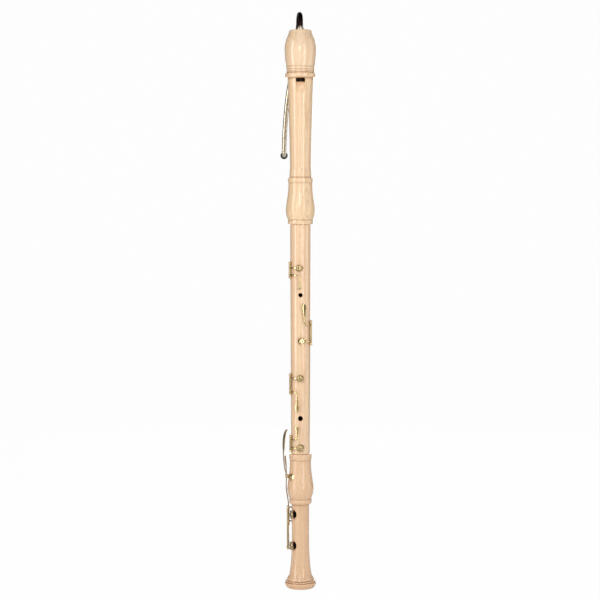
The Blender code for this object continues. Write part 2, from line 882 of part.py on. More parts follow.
def hinge_tube(label, azimuth, distance, low, high):
    tube = cylinder(f"{label}_tube", hinge_tube_radius, low, high, brass, sides=8)
    return placed(tube, Matrix.Translation(around(azimuth, distance, 0.0)))


def hinge_bore(label, azimuth, distance, low, high):
    bore = cylinder(f"{label}_bore", hinge_rod_radius + seat_gap, low - 0.002, high + 0.002, sides=8)
    return placed(bore, Matrix.Translation(around(azimuth, distance, 0.0)))


def key_lug(label, azimuth, distance, height, side):
    """A small lug under the hinge tube, which bears on the spring."""
    reach = hinge_tube_radius + 0.0012
    lug = box(f"{label}_lug", (-0.0005, 0.0, -0.0009), (0.0005, reach, 0.0009), brass)
    inward = (around(azimuth, -1.0, 0.0)).to_2d()
    turn = math.atan2(inward.y, inward.x) - math.pi / 2 + side * lug_angle
    place = Matrix.Translation(around(azimuth, distance, height)) @ Matrix.Rotation(turn, 4, "Z")
    return placed(lug, place)


def curved_arm(label, stations):
    """A bar round the body through (azimuth, distance, height, half width, half thickness) stations."""
    places = [around(azimuth, distance, height) for azimuth, distance, height, _, _ in stations]
    made = []
    for i, (azimuth, _, _, half_width, half_thickness) in enumerate(stations):
        before, beyond = places[max(i - 1, 0)], places[min(i + 1, len(places) - 1)]
        along = (beyond - before).normalized()
        out = around(azimuth, 1.0, 0.0)
        across = out.cross(along).normalized()
        through = along.cross(across).normalized()
        made.append((places[i], across * half_width, through * half_thickness))
    return bar(label, made, brass)


def mixed(start, end, share):
    return start + (end - start) * share


def cup_arm(label, hinge, distance, azimuth, arm_end, height):
    """The arm from the hinge tube over the cup's rim to its middle."""
    far_side = hinge + math.copysign(math.radians(7), hinge - azimuth)
    stations = [(far_side, distance, height, 0.0011, arm_half_thickness)]
    for share in (0.0, 0.3, 0.6, 0.85, 1.0):
        out = mixed(distance, arm_end, share)
        stations.append((mixed(hinge, azimuth, share), out, height, arm_half_width, arm_half_thickness))
    return curved_arm(label, stations)


def touch_arm(label, hinge, distance, arm_height, tip_height, azimuth, half_width, surface):
    """The arm that leaves the hinge tube, turns along the body and widens into the touch."""
    way = math.copysign(1.0, tip_height - arm_height)
    length = abs(tip_height - arm_height)
    far_side = hinge + math.copysign(math.radians(7), hinge - azimuth)
    out = surface + touch_standoff
    stem, narrow, thin = 0.0015, arm_half_thickness, touch_half_thickness
    stations = [
        (far_side, distance, arm_height, 0.0011, narrow),
        (hinge, distance, arm_height, arm_half_width, narrow),
        (mixed(hinge, azimuth, 0.35), mixed(distance, out, 0.4), arm_height, arm_half_width, narrow),
        (mixed(hinge, azimuth, 0.68), out, arm_height + way * 0.0006, stem, narrow),
        (mixed(hinge, azimuth, 0.90), out, arm_height + way * 0.0035, stem, narrow),
        (azimuth, out, arm_height + way * 0.0080, stem, narrow),
        (azimuth, out, arm_height + way * mixed(0.008, length, 0.38), mixed(stem, half_width, 0.62), thin),
        (azimuth, out, arm_height + way * mixed(0.008, length, 0.70), half_width, thin),
        (azimuth, out, arm_height + way * mixed(0.008, length, 0.91), half_width * 0.80, thin),
        (azimuth, out - 0.0002, arm_height + way * length, half_width * 0.30, thin * 0.6),
    ]
    return curved_arm(label, stations)


def hang_open(name, pieces, hinge_point, angle):
    """Hang pieces that were made closed on their hinge's axis, turned to stand open."""
    axis = bpy.data.objects.new(f"{name}_axis", None)
    model.objects.link(axis)
    axis.location = hinge_point
    axis.rotation_euler.z = angle
    for piece in pieces:
        piece.data.transform(Matrix.Translation(-hinge_point))
        piece.parent = axis


def pillar(name, azimuth, surface, height, standoff, ball=pillar_ball_radius, flange=pillar_flange_radius,
           hole=hinge_rod_radius + seat_gap, hole_along=(0, 0, 1), material=brass):
    """A turned post with a shank in the wood and a ball head, bored for a rod or ring."""
    neck_meets = standoff - math.sqrt(ball**2 - pillar_neck_radius**2)
    start = math.asin(pillar_neck_radius / ball)
    angles = [math.pi / 2 - (math.pi - start) * i / 3 for i in range(4)]
    head = [(ball * math.sin(math.pi / 2 - a), standoff + ball * math.sin(a)) for a in angles]
    flange_top = min(0.0012, neck_meets - 0.0002)
    outline = [
        (0.0, standoff + ball),
        *head[1:-1],
        (pillar_neck_radius, neck_meets),
        (pillar_neck_radius, flange_top),
        (flange, seat_gap),
        (pillar_shank_radius, seat_gap),
        (pillar_shank_radius, -pillar_shank_length),
        (0.0, -pillar_shank_length),
    ]
    post = turned(name, outline, material, sides=8, closed=False)
    post = made_mesh(placed(post, outward_frame(azimuth, surface, height)))
    centre = around(azimuth, surface + standoff, height)
    tool = cylinder(f"{name}_eye", hole, -ball - 0.001, ball + 0.001, sides=8)
    turn = Vector((0, 0, 1)).rotation_difference(Vector(hole_along)).to_matrix().to_4x4()
    return cut(post, [placed(tool, Matrix.Translation(centre) @ turn)])


def hinge_rod(name, azimuth, distance, low, high):
    """A steel rod through the pillars and the tube, with a head above the upper pillar."""
    reach = pillar_ball_radius + rod_end_reach
    whole = headed_rod(name, low - reach, high + reach)
    whole.data.transform(Matrix.Translation(around(azimuth, distance, 0.0)))
    return whole


def headed_rod(name, low, high):
    """A rod along the vertical axis, with a flat head on its upper end."""
    rod = cylinder(f"{name}_shaft", hinge_rod_radius, low, high, steel, sides=8)
    head = cylinder(f"{name}_head", hinge_rod_radius + rod_head_rim, high - 0.0001, high + rod_head_height, steel)
    return fuse(name, [rod, head])


def key_spring(name, azimuth, distance, low, high):
    """A needle spring beside the hinge tube, from the lower pillar to the lug."""
    inward = distance - hinge_tube_radius - spring_offset
    start = low + pillar_flange_radius + seat_gap
    return wire(
        name, [around(azimuth, inward, start), around(azimuth, inward, high)], spring_radius, steel, resolution=1
    )


def tube_ends(low, high):
    """The ends of a hinge tube between two pillars."""
    side = hinge_rod_radius + seat_gap
    reach = math.sqrt(pillar_ball_radius**2 - side**2) + seat_gap
    return low + reach, high - reach


def make_finger_key(entry):
    name, side, low, high, hole, cup_at, cup_turn, arm_at, tip_at, touch_turn, half_width = entry
    hinge, azimuth = side * hinge_azimuth, math.radians(cup_turn)
    base = centre_base
    low_surface, high_surface = centre_radius(low), centre_radius(high)
    distance = (low_surface + high_surface) / 2 + hinge_standoff
    seat = seat_distance(centre_radius(cup_at), cup_radius)
    frame = outward_frame(azimuth, seat, base + cup_at)
    tube_low, tube_high = tube_ends(base + low, base + high)
    lug_at = (tube_low + tube_high) / 2
    label = f"key_{name}"
    arm_end = seat + cup_height + arm_half_thickness * 0.6
    pieces = [
        hinge_tube(label, hinge, distance, tube_low, tube_high),
        cup(label, cup_radius, frame),
        cup_arm(f"{label}_cup_arm", hinge, distance, azimuth, arm_end, base + cup_at),
        touch_arm(
            f"{label}_touch", hinge, distance, base + arm_at, base + tip_at, math.radians(touch_turn),
            half_width, centre_radius(arm_at),
        ),
        key_lug(label, hinge, distance, lug_at, side),
    ]
    body = fuse(label, pieces, [hinge_bore(label, hinge, distance, tube_low, tube_high)])
    leather = pad(f"pad_{name}", cup_radius, frame)
    hang_open(label, [body, leather], around(hinge, distance, 0.0), side * key_opening)
    pillar(f"pillar_{name}_lower", hinge, low_surface, base + low, distance - low_surface)
    pillar(f"pillar_{name}_upper", hinge, high_surface, base + high, distance - high_surface)
    hinge_rod(f"hinge_rod_{name}", hinge, distance, base + low, base + high)
    key_spring(f"spring_{name}", hinge, distance, base + low, lug_at + spring_past_lug)


def make_foot_key(name, low, high, cup_height_at, tail_at, tail_length, label):
    hinge, distance = foot_hinge_azimuth, foot_hinge_distance
    seat = seat_distance(radius_at(foot_profile, cup_height_at), foot_cup_radius)
    frame = outward_frame(foot_key_azimuth, seat, cup_height_at)
    tube_low, tube_high = tube_ends(low, high)
    lug_at = (tube_low + tube_high) / 2
    centre = around(hinge, distance, tail_at)
    away = Vector((-math.sin(foot_key_opening), math.cos(foot_key_opening), 0.0))
    thick = Vector((away.y, -away.x, 0.0)) * arm_half_thickness
    tall = Vector((0, 0, 0.0022))
    tail = [
        (centre - away * 0.001, tall, thick * 1.4),
        (centre + away * 0.004, tall * 0.9, thick),
        (centre + away * (tail_length - 0.001), tall * 0.8, thick),
        (centre + away * tail_length, tall * 0.6, thick * 0.6),
    ]
    arm_end = seat + cup_height + arm_half_thickness * 0.6
    pieces = [
        hinge_tube(name, hinge, distance, tube_low, tube_high),
        cup(name, foot_cup_radius, frame),
        cup_arm(f"{name}_arm", hinge, distance, foot_key_azimuth, arm_end, cup_height_at),
        bar(f"{name}_tail", tail, brass),
        key_lug(name, hinge, distance, lug_at, -1),
    ]
    body = fuse(name, pieces, [hinge_bore(name, hinge, distance, tube_low, tube_high)])
    leather = pad(f"{label}_foot_pad", foot_cup_radius, frame)
    hang_open(name, [body, leather], around(hinge, distance, 0.0), -foot_key_opening)
    key_spring(f"{label}_foot_spring", hinge, distance, low, lug_at + spring_past_lug)


def make_foot_keys():
    top, middle, bottom = (foot_height - drop for drop in (top_post_drop, middle_post_drop, bottom_post_drop))
    for label, height in (("top", top), ("middle", middle), ("bottom", bottom)):
        surface = radius_at(foot_profile, height)
        pillar(f"foot_post_{label}", foot_hinge_azimuth, surface, height, foot_hinge_distance - surface)
    hinge_rod("foot_hinge_rod", foot_hinge_azimuth, foot_hinge_distance, bottom, top)
    make_foot_key(
        "upper_foot_key", middle, top, foot_height - upper_cup_drop, foot_height - upper_tail_drop,
        upper_tail_length, "upper",
    )
    make_foot_key(
        "lower_foot_key", bottom, middle, foot_height - lower_cup_drop, foot_height - lower_tail_drop,
        lower_tail_length, "lower",
    )


def pivot_height():
    return foot_height - pivot_drop


def saddle_surface():
    return radius_at(foot_profile, pivot_height())


def pivot_distance():
    return saddle_surface() + pivot_standoff


def saddle_screw_azimuths():
    return (saddle_front_azimuth, -math.pi - saddle_front_azimuth)


def make_saddle():
    """A strap round the bulge with two round ends, and two ears that carry the levers' axle."""
    height = pivot_height()
    above = radius_at(foot_profile, height + saddle_half_width)
    below = radius_at(foot_profile, height - saddle_half_width)
    middle = max(saddle_surface(), (above + below) / 2)
    front, back = saddle_screw_azimuths()
    half_turn = math.asin(saddle_half_width / middle)
    stations = []
    rounding = (0.99, 0.80, 0.0)
    turns = [(front + half_turn * s, math.sqrt(1 - s * s)) for s in rounding]
    inner = 0.62
    turns += [(mixed(front, back, share), inner) for share in (0.18, 0.39, 0.61, 0.82)]
    turns += [(back - half_turn * s, math.sqrt(1 - s * s)) for s in reversed(rounding)]
    for azimuth, width in turns:
        out = around(azimuth, 1.0, 0.0)
        along = (out * (above - below) + Vector((0, 0, 2 * saddle_half_width))).normalized()
        tangent = Vector((math.cos(azimuth), math.sin(azimuth), 0.0))
        normal = tangent.cross(along).normalized()
        centre = out * (middle + seat_gap + saddle_rise) + Vector((0, 0, height))
        stations.append((centre, along * saddle_half_width * width, normal * saddle_thickness))
    strap = strip("lever_saddle", stations, brass)
    pivot = pivot_distance()
    pieces, tools = [strap], []
    for way in (-1, 1):
        foot = math.sqrt((middle + saddle_thickness / 2 + seat_gap) ** 2 - ear_half_span**2)
        place = Matrix.Translation((0, way * ear_half_span, height)) @ Matrix.Rotation(-math.pi / 2, 4, "Y")
        stem = placed(cylinder("ear_stem", ear_stem_radius, foot, pivot - 0.001, brass, sides=8), place)
        mesh = bpy.data.meshes.new("ear_ball")
        work = bmesh.new()
        bmesh.ops.create_uvsphere(work, u_segments=8, v_segments=6, radius=pillar_ball_radius)
        work.to_mesh(mesh)
        work.free()
        ball = placed(
            add_object("ear_ball", mesh, brass),
            Matrix.Translation((-pivot, way * ear_half_span, height)) @ Matrix.Rotation(-math.pi / 2, 4, "Y"),
        )
        pieces += [stem, ball]
    eye = cylinder("ear_eyes", hinge_rod_radius + seat_gap, -0.02, 0.02, sides=8)
    tools.append(placed(eye, Matrix.Translation((-pivot, 0, height)) @ Matrix.Rotation(math.pi / 2, 4, "X")))
    for azimuth in (front, back):
        hole = cylinder("saddle_hole", screw_shank_radius + seat_gap, -0.002, 0.006)
        tools.append(placed(hole, outward_frame(azimuth, middle, height)))
    fuse("lever_saddle", pieces, tools)
    for label, azimuth in (("front", front), ("back", back)):
        slotted_screw(f"saddle_screw_{label}", azimuth, middle + saddle_thickness + saddle_screw_rise, height)
    reach = ear_half_span + pillar_ball_radius + rod_end_reach
    axle = headed_rod("lever_axle", -reach, reach)
    axle.data.transform(Matrix.Translation((-pivot, 0, height)) @ Matrix.Rotation(math.pi / 2, 4, "X"))


def strip(name, stations, material):
    """A flat bar lofted through (centre, half width vector, thickness vector), outer face along the thickness."""
    corners = [(-1, 0), (1, 0), (1, 0.7), (0.85, 1), (-0.85, 1), (-1, 0.7)]
    rings = [[centre + across * u + through * v for u, v in corners] for centre, across, through in stations]
    return skinned(name, rings, material)


def slotted_screw(name, azimuth, distance, height):
    """A round-headed screw whose head stands at the given distance from the axis."""
    outline = [
        (0.0, screw_head_height),
        (screw_head_radius * 0.6, screw_head_height * 0.8),
        (screw_head_radius, 0.0),
        (screw_shank_radius, 0.0),
        (screw_shank_radius, -screw_shank_length),
        (0.0, -screw_shank_length),
    ]
    screw = made_mesh(turned(name, outline, brass, sides=8, closed=False))
    half = screw_slot_half_width
    slot = box(f"{name}_slot", (-0.004, -half, screw_slot_floor), (0.004, half, 0.003))
    whole = fuse(name, [screw], [slot])
    whole.data.transform(outward_frame(azimuth, distance, height))
    return whole


def lever(name, side, upper, lower):
    """A rocking lever: hub on the axle, a touch above it and a tip below, through the stations given."""
    pivot, height = pivot_distance(), pivot_height()
    hub = cylinder(f"{name}_hub", lever_hub_radius, -lever_hub_length / 2, lever_hub_length / 2, brass)
    place = Matrix.Translation((-pivot, side, height)) @ Matrix.Rotation(math.pi / 2, 4, "X")
    pieces = [placed(hub, place)]
    for label, route in (("touch", upper), ("tip", lower)):
        places = [Vector(place) for place, _, _ in route]
        stations = []
        for i, (_, half_width, turn) in enumerate(route):
            along = (places[min(i + 1, len(places) - 1)] - places[max(i - 1, 0)]).normalized()
            across = Vector((-math.sin(turn), math.cos(turn), 0))
            through = along.cross(across).normalized()
            thickness = lever_half_thickness if half_width <= 2 * lever_half_width else touch_half_thickness
            stations.append((places[i], across * half_width, through * thickness))
        pieces.append(bar(f"{name}_{label}", stations, brass))
    bore = cylinder(f"{name}_bore", hinge_rod_radius + seat_gap, -0.02, 0.02, sides=8)
    bore = placed(bore, place)
    return fuse(name, pieces, [bore])


def make_levers():
    pivot, height = pivot_distance(), pivot_height()
    stem = lever_half_width
    tip = -(foot_hinge_distance - arm_half_thickness - seat_gap - lever_half_thickness)
    side = lever_hub_length / 2 + seat_gap
    bulge = -(foot_bulge_radius + 0.0026)
    bulge_height = foot_height - foot_bulge_drop
    upper_tail, lower_tail = foot_height - upper_tail_drop, foot_height - lower_tail_drop
    long_tip = [
        # x, y, height, half width
        (-pivot, side, height, stem),
        (bulge + 0.0002, side, height - 0.013, stem),
        (bulge, side + 0.0010, bulge_height, stem),
        (bulge + 0.0018, side + 0.0050, bulge_height - 0.014, stem),
        (bulge + 0.0038, lower_tip_side - 0.0020, bulge_height - 0.027, stem),
        (tip - 0.0012, lower_tip_side - 0.0002, bulge_height - 0.041, stem),
        (tip, lower_tip_side, lower_tail + 0.016, stem),
        (tip, lower_tip_side, lower_tail - 0.003, stem),
        (tip, lower_tip_side, lower_tail - 0.0046, stem * 0.5),
    ]
    short_tip = [
        (-pivot, -side, height, stem),
        (bulge + 0.0002, -side, height - 0.013, stem),
        (bulge, -side + 0.0010, bulge_height, stem),
        (bulge + 0.0018, -side + 0.0052, bulge_height - 0.014, stem),
        (bulge + 0.0038, upper_tip_side - 0.0032, bulge_height - 0.027, stem),
        (tip - 0.0010, upper_tip_side - 0.0004, bulge_height - 0.039, stem),
        (tip, upper_tip_side, upper_tail + 0.003, stem),
        (tip, upper_tip_side, upper_tail - 0.003, stem),
        (tip, upper_tip_side, upper_tail - 0.0046, stem * 0.5),
    ]
    for name, across, touch_route, tip_route in (
        ("long_lever", side, long_touch_route, long_tip),
        ("short_lever", -side, short_touch_route, short_tip),
    ):
        touch = [
            ((-pivot - out, across, height + above), half, math.radians(turn))
            for out, above, half, turn in touch_route
        ]
        lever(name, across, touch, [((x, y, z), half, 0.0) for x, y, z, half in tip_route])


def make_thumb_bush():
    surface = centre_radius(thumb_hole_height)
    inner, outer = thumb_hole_radius, thumb_hole_radius + bush_wall
    top = surface - seat_gap
    outline = [(outer, top), (outer, top - bush_length), (inner, top - bush_length), (inner, top)]
    bush = turned("thumb_bush", outline, brass, sides=12)
    return placed(bush, outward_frame(math.pi, 0.0, centre_base + thumb_hole_height))


def thumb_rest_screw_height():
    return thumb_rest_height + thumb_rest_plate * 0.55


def make_thumb_rest():
    """A brass plate that hugs the back, bent out at its foot into a hook for the thumb."""
    base = centre_base + thumb_rest_height
    surface = centre_radius(thumb_rest_height + thumb_rest_plate) + seat_gap
    wide, thick = thumb_rest_half_width, thumb_rest_thickness
    route = smooth(
        [
            (surface, base + thumb_rest_plate),
            (surface, base + thumb_rest_plate * 0.6),
            (surface, base + 0.008),
            (surface + 0.0035, base + 0.0015),
            (surface + thumb_rest_reach * 0.6, base + 0.0005),
            (surface + thumb_rest_reach, base - 0.0035),
        ],
        1,
    )
    widths = [0.6, 1.0, 0.96, 0.94, 1.0, 0.7]
    stations = []
    for i, (out, height) in enumerate(route):
        along = Vector(route[min(i + 1, len(route) - 1)]) - Vector(route[max(i - 1, 0)])
        along = Vector((0, along.x, along.y)).normalized()
        normal = Vector((1, 0, 0)).cross(along).normalized()
        centre = Vector((0, out, height))
        outward = normal if normal.y > 0 else -normal
        stations.append((centre, Vector((wide * widths[i], 0, 0)), outward * thick))
    plate = strip_wrapped("thumb_rest", stations, brass, surface)
    hole = cylinder("thumb_rest_hole", screw_shank_radius + seat_gap, -0.005, 0.006, sides=8)
    hole = placed(hole, outward_frame(math.pi, surface, centre_base + thumb_rest_screw_height()))
    fuse("thumb_rest", [plate], [hole])
    slotted_screw(
        "thumb_rest_screw", math.pi, surface + thick + seat_gap, centre_base + thumb_rest_screw_height()
    )


def strip_wrapped(name, stations, material, radius):
    """A strip across the back whose part near the body is bent round it."""
    rings = []
    corners = [(-1, 0), (-0.5, 0), (0, 0), (0.5, 0), (1, 0), (1, 1), (0.5, 1), (0, 1), (-0.5, 1), (-1, 1)]
    for centre, across, through in stations:
        ring = []
        for u, v in corners:
            place = centre + across * u + through * v
            share = max(0.0, 1.0 - (centre.y - radius) / thumb_rest_wrap)
            place.y -= share * (radius - math.sqrt(radius**2 - place.x**2))
            ring.append(place)
        rings.append(ring)
    return skinned(name, rings, material)


def make_sling():
    """A bored post at the back with a free ring for the sling's hook."""
    surface = centre_radius(sling_post_height)
    height = centre_base + sling_post_height
    pillar(
        "sling_post", math.pi, surface, height, sling_standoff, sling_ball_radius, sling_flange_radius,
        sling_eye_radius, (1, 0, 0),
    )
    drop = sling_eye_radius - ring_wire_radius - 2 * seat_gap
    bpy.ops.mesh.primitive_torus_add(
        major_segments=16, minor_segments=6, major_radius=ring_radius, minor_radius=ring_wire_radius,
        location=(0, surface + sling_standoff, height - drop - ring_radius), rotation=(math.pi / 2, 0, 0),
    )
    torus = bpy.context.object
    add_object("sling_ring", evaluated_mesh(torus), brass)
    bpy.data.objects.remove(torus, do_unlink=True)


clear_scene()
make_foot_joint()
make_centre_joint()
make_head_joint()
make_block()
make_cap()
make_corks()
make_crook()
for key_entry in finger_keys:
    make_finger_key(key_entry)
make_foot_keys()
make_saddle()
make_levers()
make_thumb_bush()
make_thumb_rest()
make_sling()
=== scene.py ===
"""The looks of the great bass recorder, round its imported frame. Metres, +Z up, and the front faces -Y."""

import json
import math

import bmesh
import bpy
from mathutils import Matrix, Vector


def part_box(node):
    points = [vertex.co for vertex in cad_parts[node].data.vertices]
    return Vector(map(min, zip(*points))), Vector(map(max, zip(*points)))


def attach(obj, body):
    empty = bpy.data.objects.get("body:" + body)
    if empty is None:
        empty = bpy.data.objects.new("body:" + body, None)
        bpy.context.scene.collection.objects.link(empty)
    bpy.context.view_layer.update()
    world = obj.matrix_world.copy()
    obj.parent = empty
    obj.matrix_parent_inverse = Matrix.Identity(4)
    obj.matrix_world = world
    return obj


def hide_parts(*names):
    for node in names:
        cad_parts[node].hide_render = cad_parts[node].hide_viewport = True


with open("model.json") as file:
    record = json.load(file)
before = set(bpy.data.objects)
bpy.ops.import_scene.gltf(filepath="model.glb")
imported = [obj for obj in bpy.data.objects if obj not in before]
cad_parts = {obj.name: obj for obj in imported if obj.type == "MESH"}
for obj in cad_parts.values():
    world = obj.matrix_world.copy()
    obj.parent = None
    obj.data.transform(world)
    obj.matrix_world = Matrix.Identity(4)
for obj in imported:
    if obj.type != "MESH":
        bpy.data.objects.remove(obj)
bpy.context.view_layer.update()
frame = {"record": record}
joints = {joint["name"]: joint for joint in frame["record"]["behaviour"]["joints"]}

# Camera, from the photograph: 2.16 mm to a pixel at the bore's axis
view_distance = 3.456
view_width = 1.291
eye_height = 0.816
aim_height = 0.6403
axis_shift = -0.0010
frame_shift = -0.012
sensor_width = 36.0

# Light and paper
stage_glow = 0.98
world_glow = 0.15
paper_front, paper_back = -8.0, 4.0
paper_bend, paper_height, paper_side = 0.9, 6.0, 8.0
lights = [
    # name, azimuth, distance, height, width, tall, watts, height that it faces
    ("left_window", -60, 1.7, 1.0, 0.46, 2.0, 14, 0.62),
    ("right_window", 30, 1.9, 0.9, 0.24, 2.0, 9, 0.62),
    ("right_fill", 82, 1.7, 0.9, 1.2, 2.0, 8, 0.62),
    ("front_screen", 0, 2.6, 1.0, 4.4, 1.6, 16.5, 0.62),
    ("cap_spot", -9, 2.0, 1.45, 0.45, 0.45, 5, 0.62),
    ("top_fill", 0, 1.6, 2.6, 1.6, 1.0, 7, 0.9),
    ("back_fill", 172, 2.4, 1.1, 1.2, 1.6, 12, 0.62),
]

# Fineness
turned_sides = 144
cork_sides = 96
fitting_sides = 64
metal_sides = 48
hub_sides = 40
pin_sides = 32
ring_sides = 24
bar_sides = 20
needle_sides = 12
pole = 0.0002  # the closed ends of turned shapes stop at this radius
bar_squareness = 0.75
# Painted shade along the edges of bars: where it starts across the section, and how fast it grows
bar_edge_from = 0.75
bar_edge_painted_shade = 3.2
sharp_angle = math.radians(35)
gap = 0.0003

# Foot joint
foot_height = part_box("foot_joint")[1].z
foot_bore = 0.0105
foot_bore_flare = 0.001
foot_socket_depth = 0.0565
foot_bell_radius = 0.0341
foot_bell_centre = 0.0115
foot_neck_radius = 0.0188
foot_flare_height = 0.125
foot_flare_reach = 0.0123
foot_flare_power = 3.1
foot_bell_shoulder = 0.028
foot_bead_radius = 0.0242
foot_bead_high = foot_height - 0.098
foot_bead_low = foot_bead_high - 0.010
foot_bulge_radius = 0.0284
foot_bulge_height = foot_height - 0.074
foot_throat_radius = 0.0230
foot_throat_height = foot_height - 0.034
foot_top_bead_radius = 0.0241
foot_top_bead_low = foot_height - 0.013

# Centre joint
centre_base = foot_height + gap
centre_length = 0.4954
centre_top = centre_base + centre_length
centre_low_radius = 0.0202
centre_high_radius = 0.0222
centre_low_bore = 0.0117
centre_high_bore = 0.0148
low_tenon_radius = 0.0160
low_tenon_length = 0.055
high_tenon_radius = 0.0188
high_tenon_length = 0.078
cork_depth = 0.0012
cork_proud = 0.0009
cork_margin = 0.008

# Head joint
head_base = centre_top + gap
head_top = head_base + 0.327
head_bore = 0.0153
head_socket_depth = 0.080
head_low_bead_radius = 0.0271
head_low_bead_width = 0.009
head_bulge_radius = 0.0314
head_bulge_height = head_base + 0.028
head_throat_radius = 0.0255
head_throat_height = head_base + 0.087
head_ring_radius = 0.0269
head_ring_width = 0.011
head_waist_radius = 0.0225
head_waist_height = head_base + 0.126
head_top_radius = 0.0276
head_top_bead_radius = 0.0328
head_top_bead_width = 0.0142
head_tenon_radius = 0.0208
head_tenon_length = 0.045
window_width = 0.0194
window_top = head_top - 0.0155
window_base = window_top - 0.008
labium_length = 0.025
labium_edge_radius = 0.0159
windway_height = 0.0018
windway_floor_radius = 0.0150

# Cap
cap_base = head_top + gap
cap_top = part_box("cap")[1].z
cap_base_radius = 0.0303
cap_belly_radius = 0.0339
cap_belly_height = 0.049
cap_top_radius = 0.0236
cap_chamber_radius = 0.0200
cap_crown_thickness = 0.014

# Crook
crook_base_radius = 0.0056
crook_radius = 0.0050
crook_rise = 0.019
crook_arch_radius = 0.0185
crook_arch_turn = math.radians(6)
crook_bore = 0.0019
crook_fall = [
    # to the left, to the back, drop below the foot of the arch
    (0.0070, 0.0420, 0.030), (0.0100, 0.0480, 0.060), (0.0150, 0.0565, 0.092), (0.0220, 0.0650, 0.120),
    (0.0300, 0.0790, 0.174), (0.0345, 0.0895, 0.230), (0.0360, 0.0955, 0.270),
]
crook_end_left = 0.0362
crook_end_back = 0.0969
crook_end_drop = 0.280
crook_elbow = 0.0022
crook_end_run = 0.0200
ferrule_radius = crook_base_radius + gap + 0.0008
ferrule_collar_radius = 0.0080
ferrule_collar_height = 0.0042
crook_cork_radius = ferrule_radius + gap + 0.0010
mouthpiece_radius = 0.0082
mouthpiece_length = 0.026
mouthpiece_overlap = 0.0070

# Finger keys, in heights above the centre joint's lower shoulder
hinge_azimuth = math.radians(63)
tube_radius = 0.0022
rod_radius = 0.0009
collar_inset = 0.0009
collar_spread = 0.0024
key_opening = math.radians(12)
cup_radius = 0.0075
cup_height = 0.0034
cup_wall = 0.0006
pad_thickness = 0.0020
pad_inset = 0.0009
seat_clearance = 0.0008
arm_half_width = 0.0016
arm_half_thickness = 0.0010
arm_overrun = math.radians(6)
touch_stem = 0.0015
touch_half_thickness = 0.0009
touch_standoff = 0.0037
ball_radius = 0.0030
neck_radius = 0.0015
flange_radius = 0.0027
pillar_standoff = 0.0039
spring_radius = 0.0003
finger_keys = [
    # name, side (-1 left), low and high pillar, hole radius, cup height, cup azimuth,
    # touch arm height, touch tip height, touch azimuth, touch half width
    ("1", -1, 0.3820, 0.4120, 0.0055, 0.4020, -4.0, 0.3870, 0.3560, 4.0, 0.0040),
    ("3", 1, 0.2380, 0.2860, 0.0060, 0.2450, 2.5, 0.2800, 0.3260, 12.5, 0.0050),
    ("4", -1, 0.1315, 0.1715, 0.0058, 0.1650, 2.0, 0.1360, 0.0920, -10.5, 0.0045),
    ("6", -1, 0.0080, 0.0380, 0.0062, 0.0145, 4.0, 0.0320, 0.0620, -11.0, 0.0044),
]
open_holes = [(0.3440, 0.0045), (0.0780, 0.0053)]

# Thumb side
thumb_hole_height = centre_base + 0.428
thumb_hole_radius = 0.0040
bush_wall = 0.0020
rest_height = centre_base + 0.168
rest_plate = 0.030
rest_half_width = 0.0065
rest_reach = 0.019
rest_thickness = 0.0014
sling_height = centre_base + 0.268
sling_ball_radius = 0.0042
sling_standoff = 0.0062
ring_radius = 0.0095
ring_wire_radius = 0.0013

# Foot keys
foot_cup_azimuth = math.radians(-57)
foot_hinge_azimuth = math.radians(-90)
foot_hinge_distance = -joints["upper_foot_key_hinge"]["pos_m"][0]
foot_key_opening = math.radians(24)
foot_collar_spread = 0.0028
tail_half_height = 0.0022
foot_cup_radius = 0.0092
foot_hole_radius = 0.0078
foot_posts = [foot_height - drop for drop in (0.207, 0.147, 0.117)]
upper_cup_height = foot_height - 0.131
lower_cup_height = foot_height - 0.199
upper_tail_height = foot_height - 0.124
lower_tail_height = foot_height - 0.154
upper_tail_length = 0.0115
lower_tail_length = 0.0165
upper_tip_side = 0.0095
lower_tip_side = 0.0145

# Little-finger levers
pivot_height = joints["long_lever_pivot"]["pos_m"][2]
pivot_distance = -joints["long_lever_pivot"]["pos_m"][0]
lever_hub_radius = 0.0024
lever_hub_length = 0.0071
lever_half_width = 0.0015
lever_half_thickness = 0.0011
long_touch_route = [
    # outward from the pivot, above the pivot, half width, turn towards the front in degrees
    (0.0, 0.0, 0.0015, 0), (0.0022, 0.008, 0.0015, 0), (0.0045, 0.018, 0.0015, 0), (0.0062, 0.032, 0.0015, 4),
    (0.0067, 0.044, 0.0017, 12), (0.0068, 0.053, 0.0033, 22), (0.0066, 0.062, 0.0046, 29),
    (0.0062, 0.071, 0.0050, 30), (0.0055, 0.081, 0.0050, 30), (0.0038, 0.091, 0.0047, 30),
    (0.0010, 0.098, 0.0037, 30), (-0.0012, 0.1005, 0.0017, 30),
]
short_touch_route = [
    (0.0, 0.0, 0.0015, 0), (0.0006, 0.010, 0.0015, 0), (0.0008, 0.017, 0.0015, 6),
    (0.0012, 0.022, 0.0033, 16), (0.0018, 0.028, 0.0048, 20), (0.0026, 0.035, 0.0050, 20),
    (0.0030, 0.041, 0.0040, 20), (0.0026, 0.045, 0.0017, 20),
]
ear_half_span = 0.0112
saddle_front = math.radians(-49)
saddle_back = -math.pi - saddle_front
saddle_half_width = 0.0078
saddle_thickness = 0.0012
screw_head_radius = 0.0026
slot_reach = 0.004


# Shape helpers

def smooth(points, steps):
    """Points along a smooth curve that passes through the given ones, of any number of values each."""
    points = [Vector(p) for p in points]
    ends = [points[0] * 2 - points[1], *points, points[-1] * 2 - points[-2]]
    result = []
    for a, b, c, d in zip(ends, ends[1:], ends[2:], ends[3:]):
        for i in range(steps):
            t = i / steps
            bend = (2 * a - 5 * b + 4 * c - d) * t**2 + (3 * b - a - 3 * c + d) * t**3
            result.append(0.5 * (2 * b + (c - a) * t + bend))
    return [*result, points[-1]]


def curve(points, steps):
    """The same curve as plain tuples, for an outline."""
    return [tuple(point) for point in smooth(points, steps)]


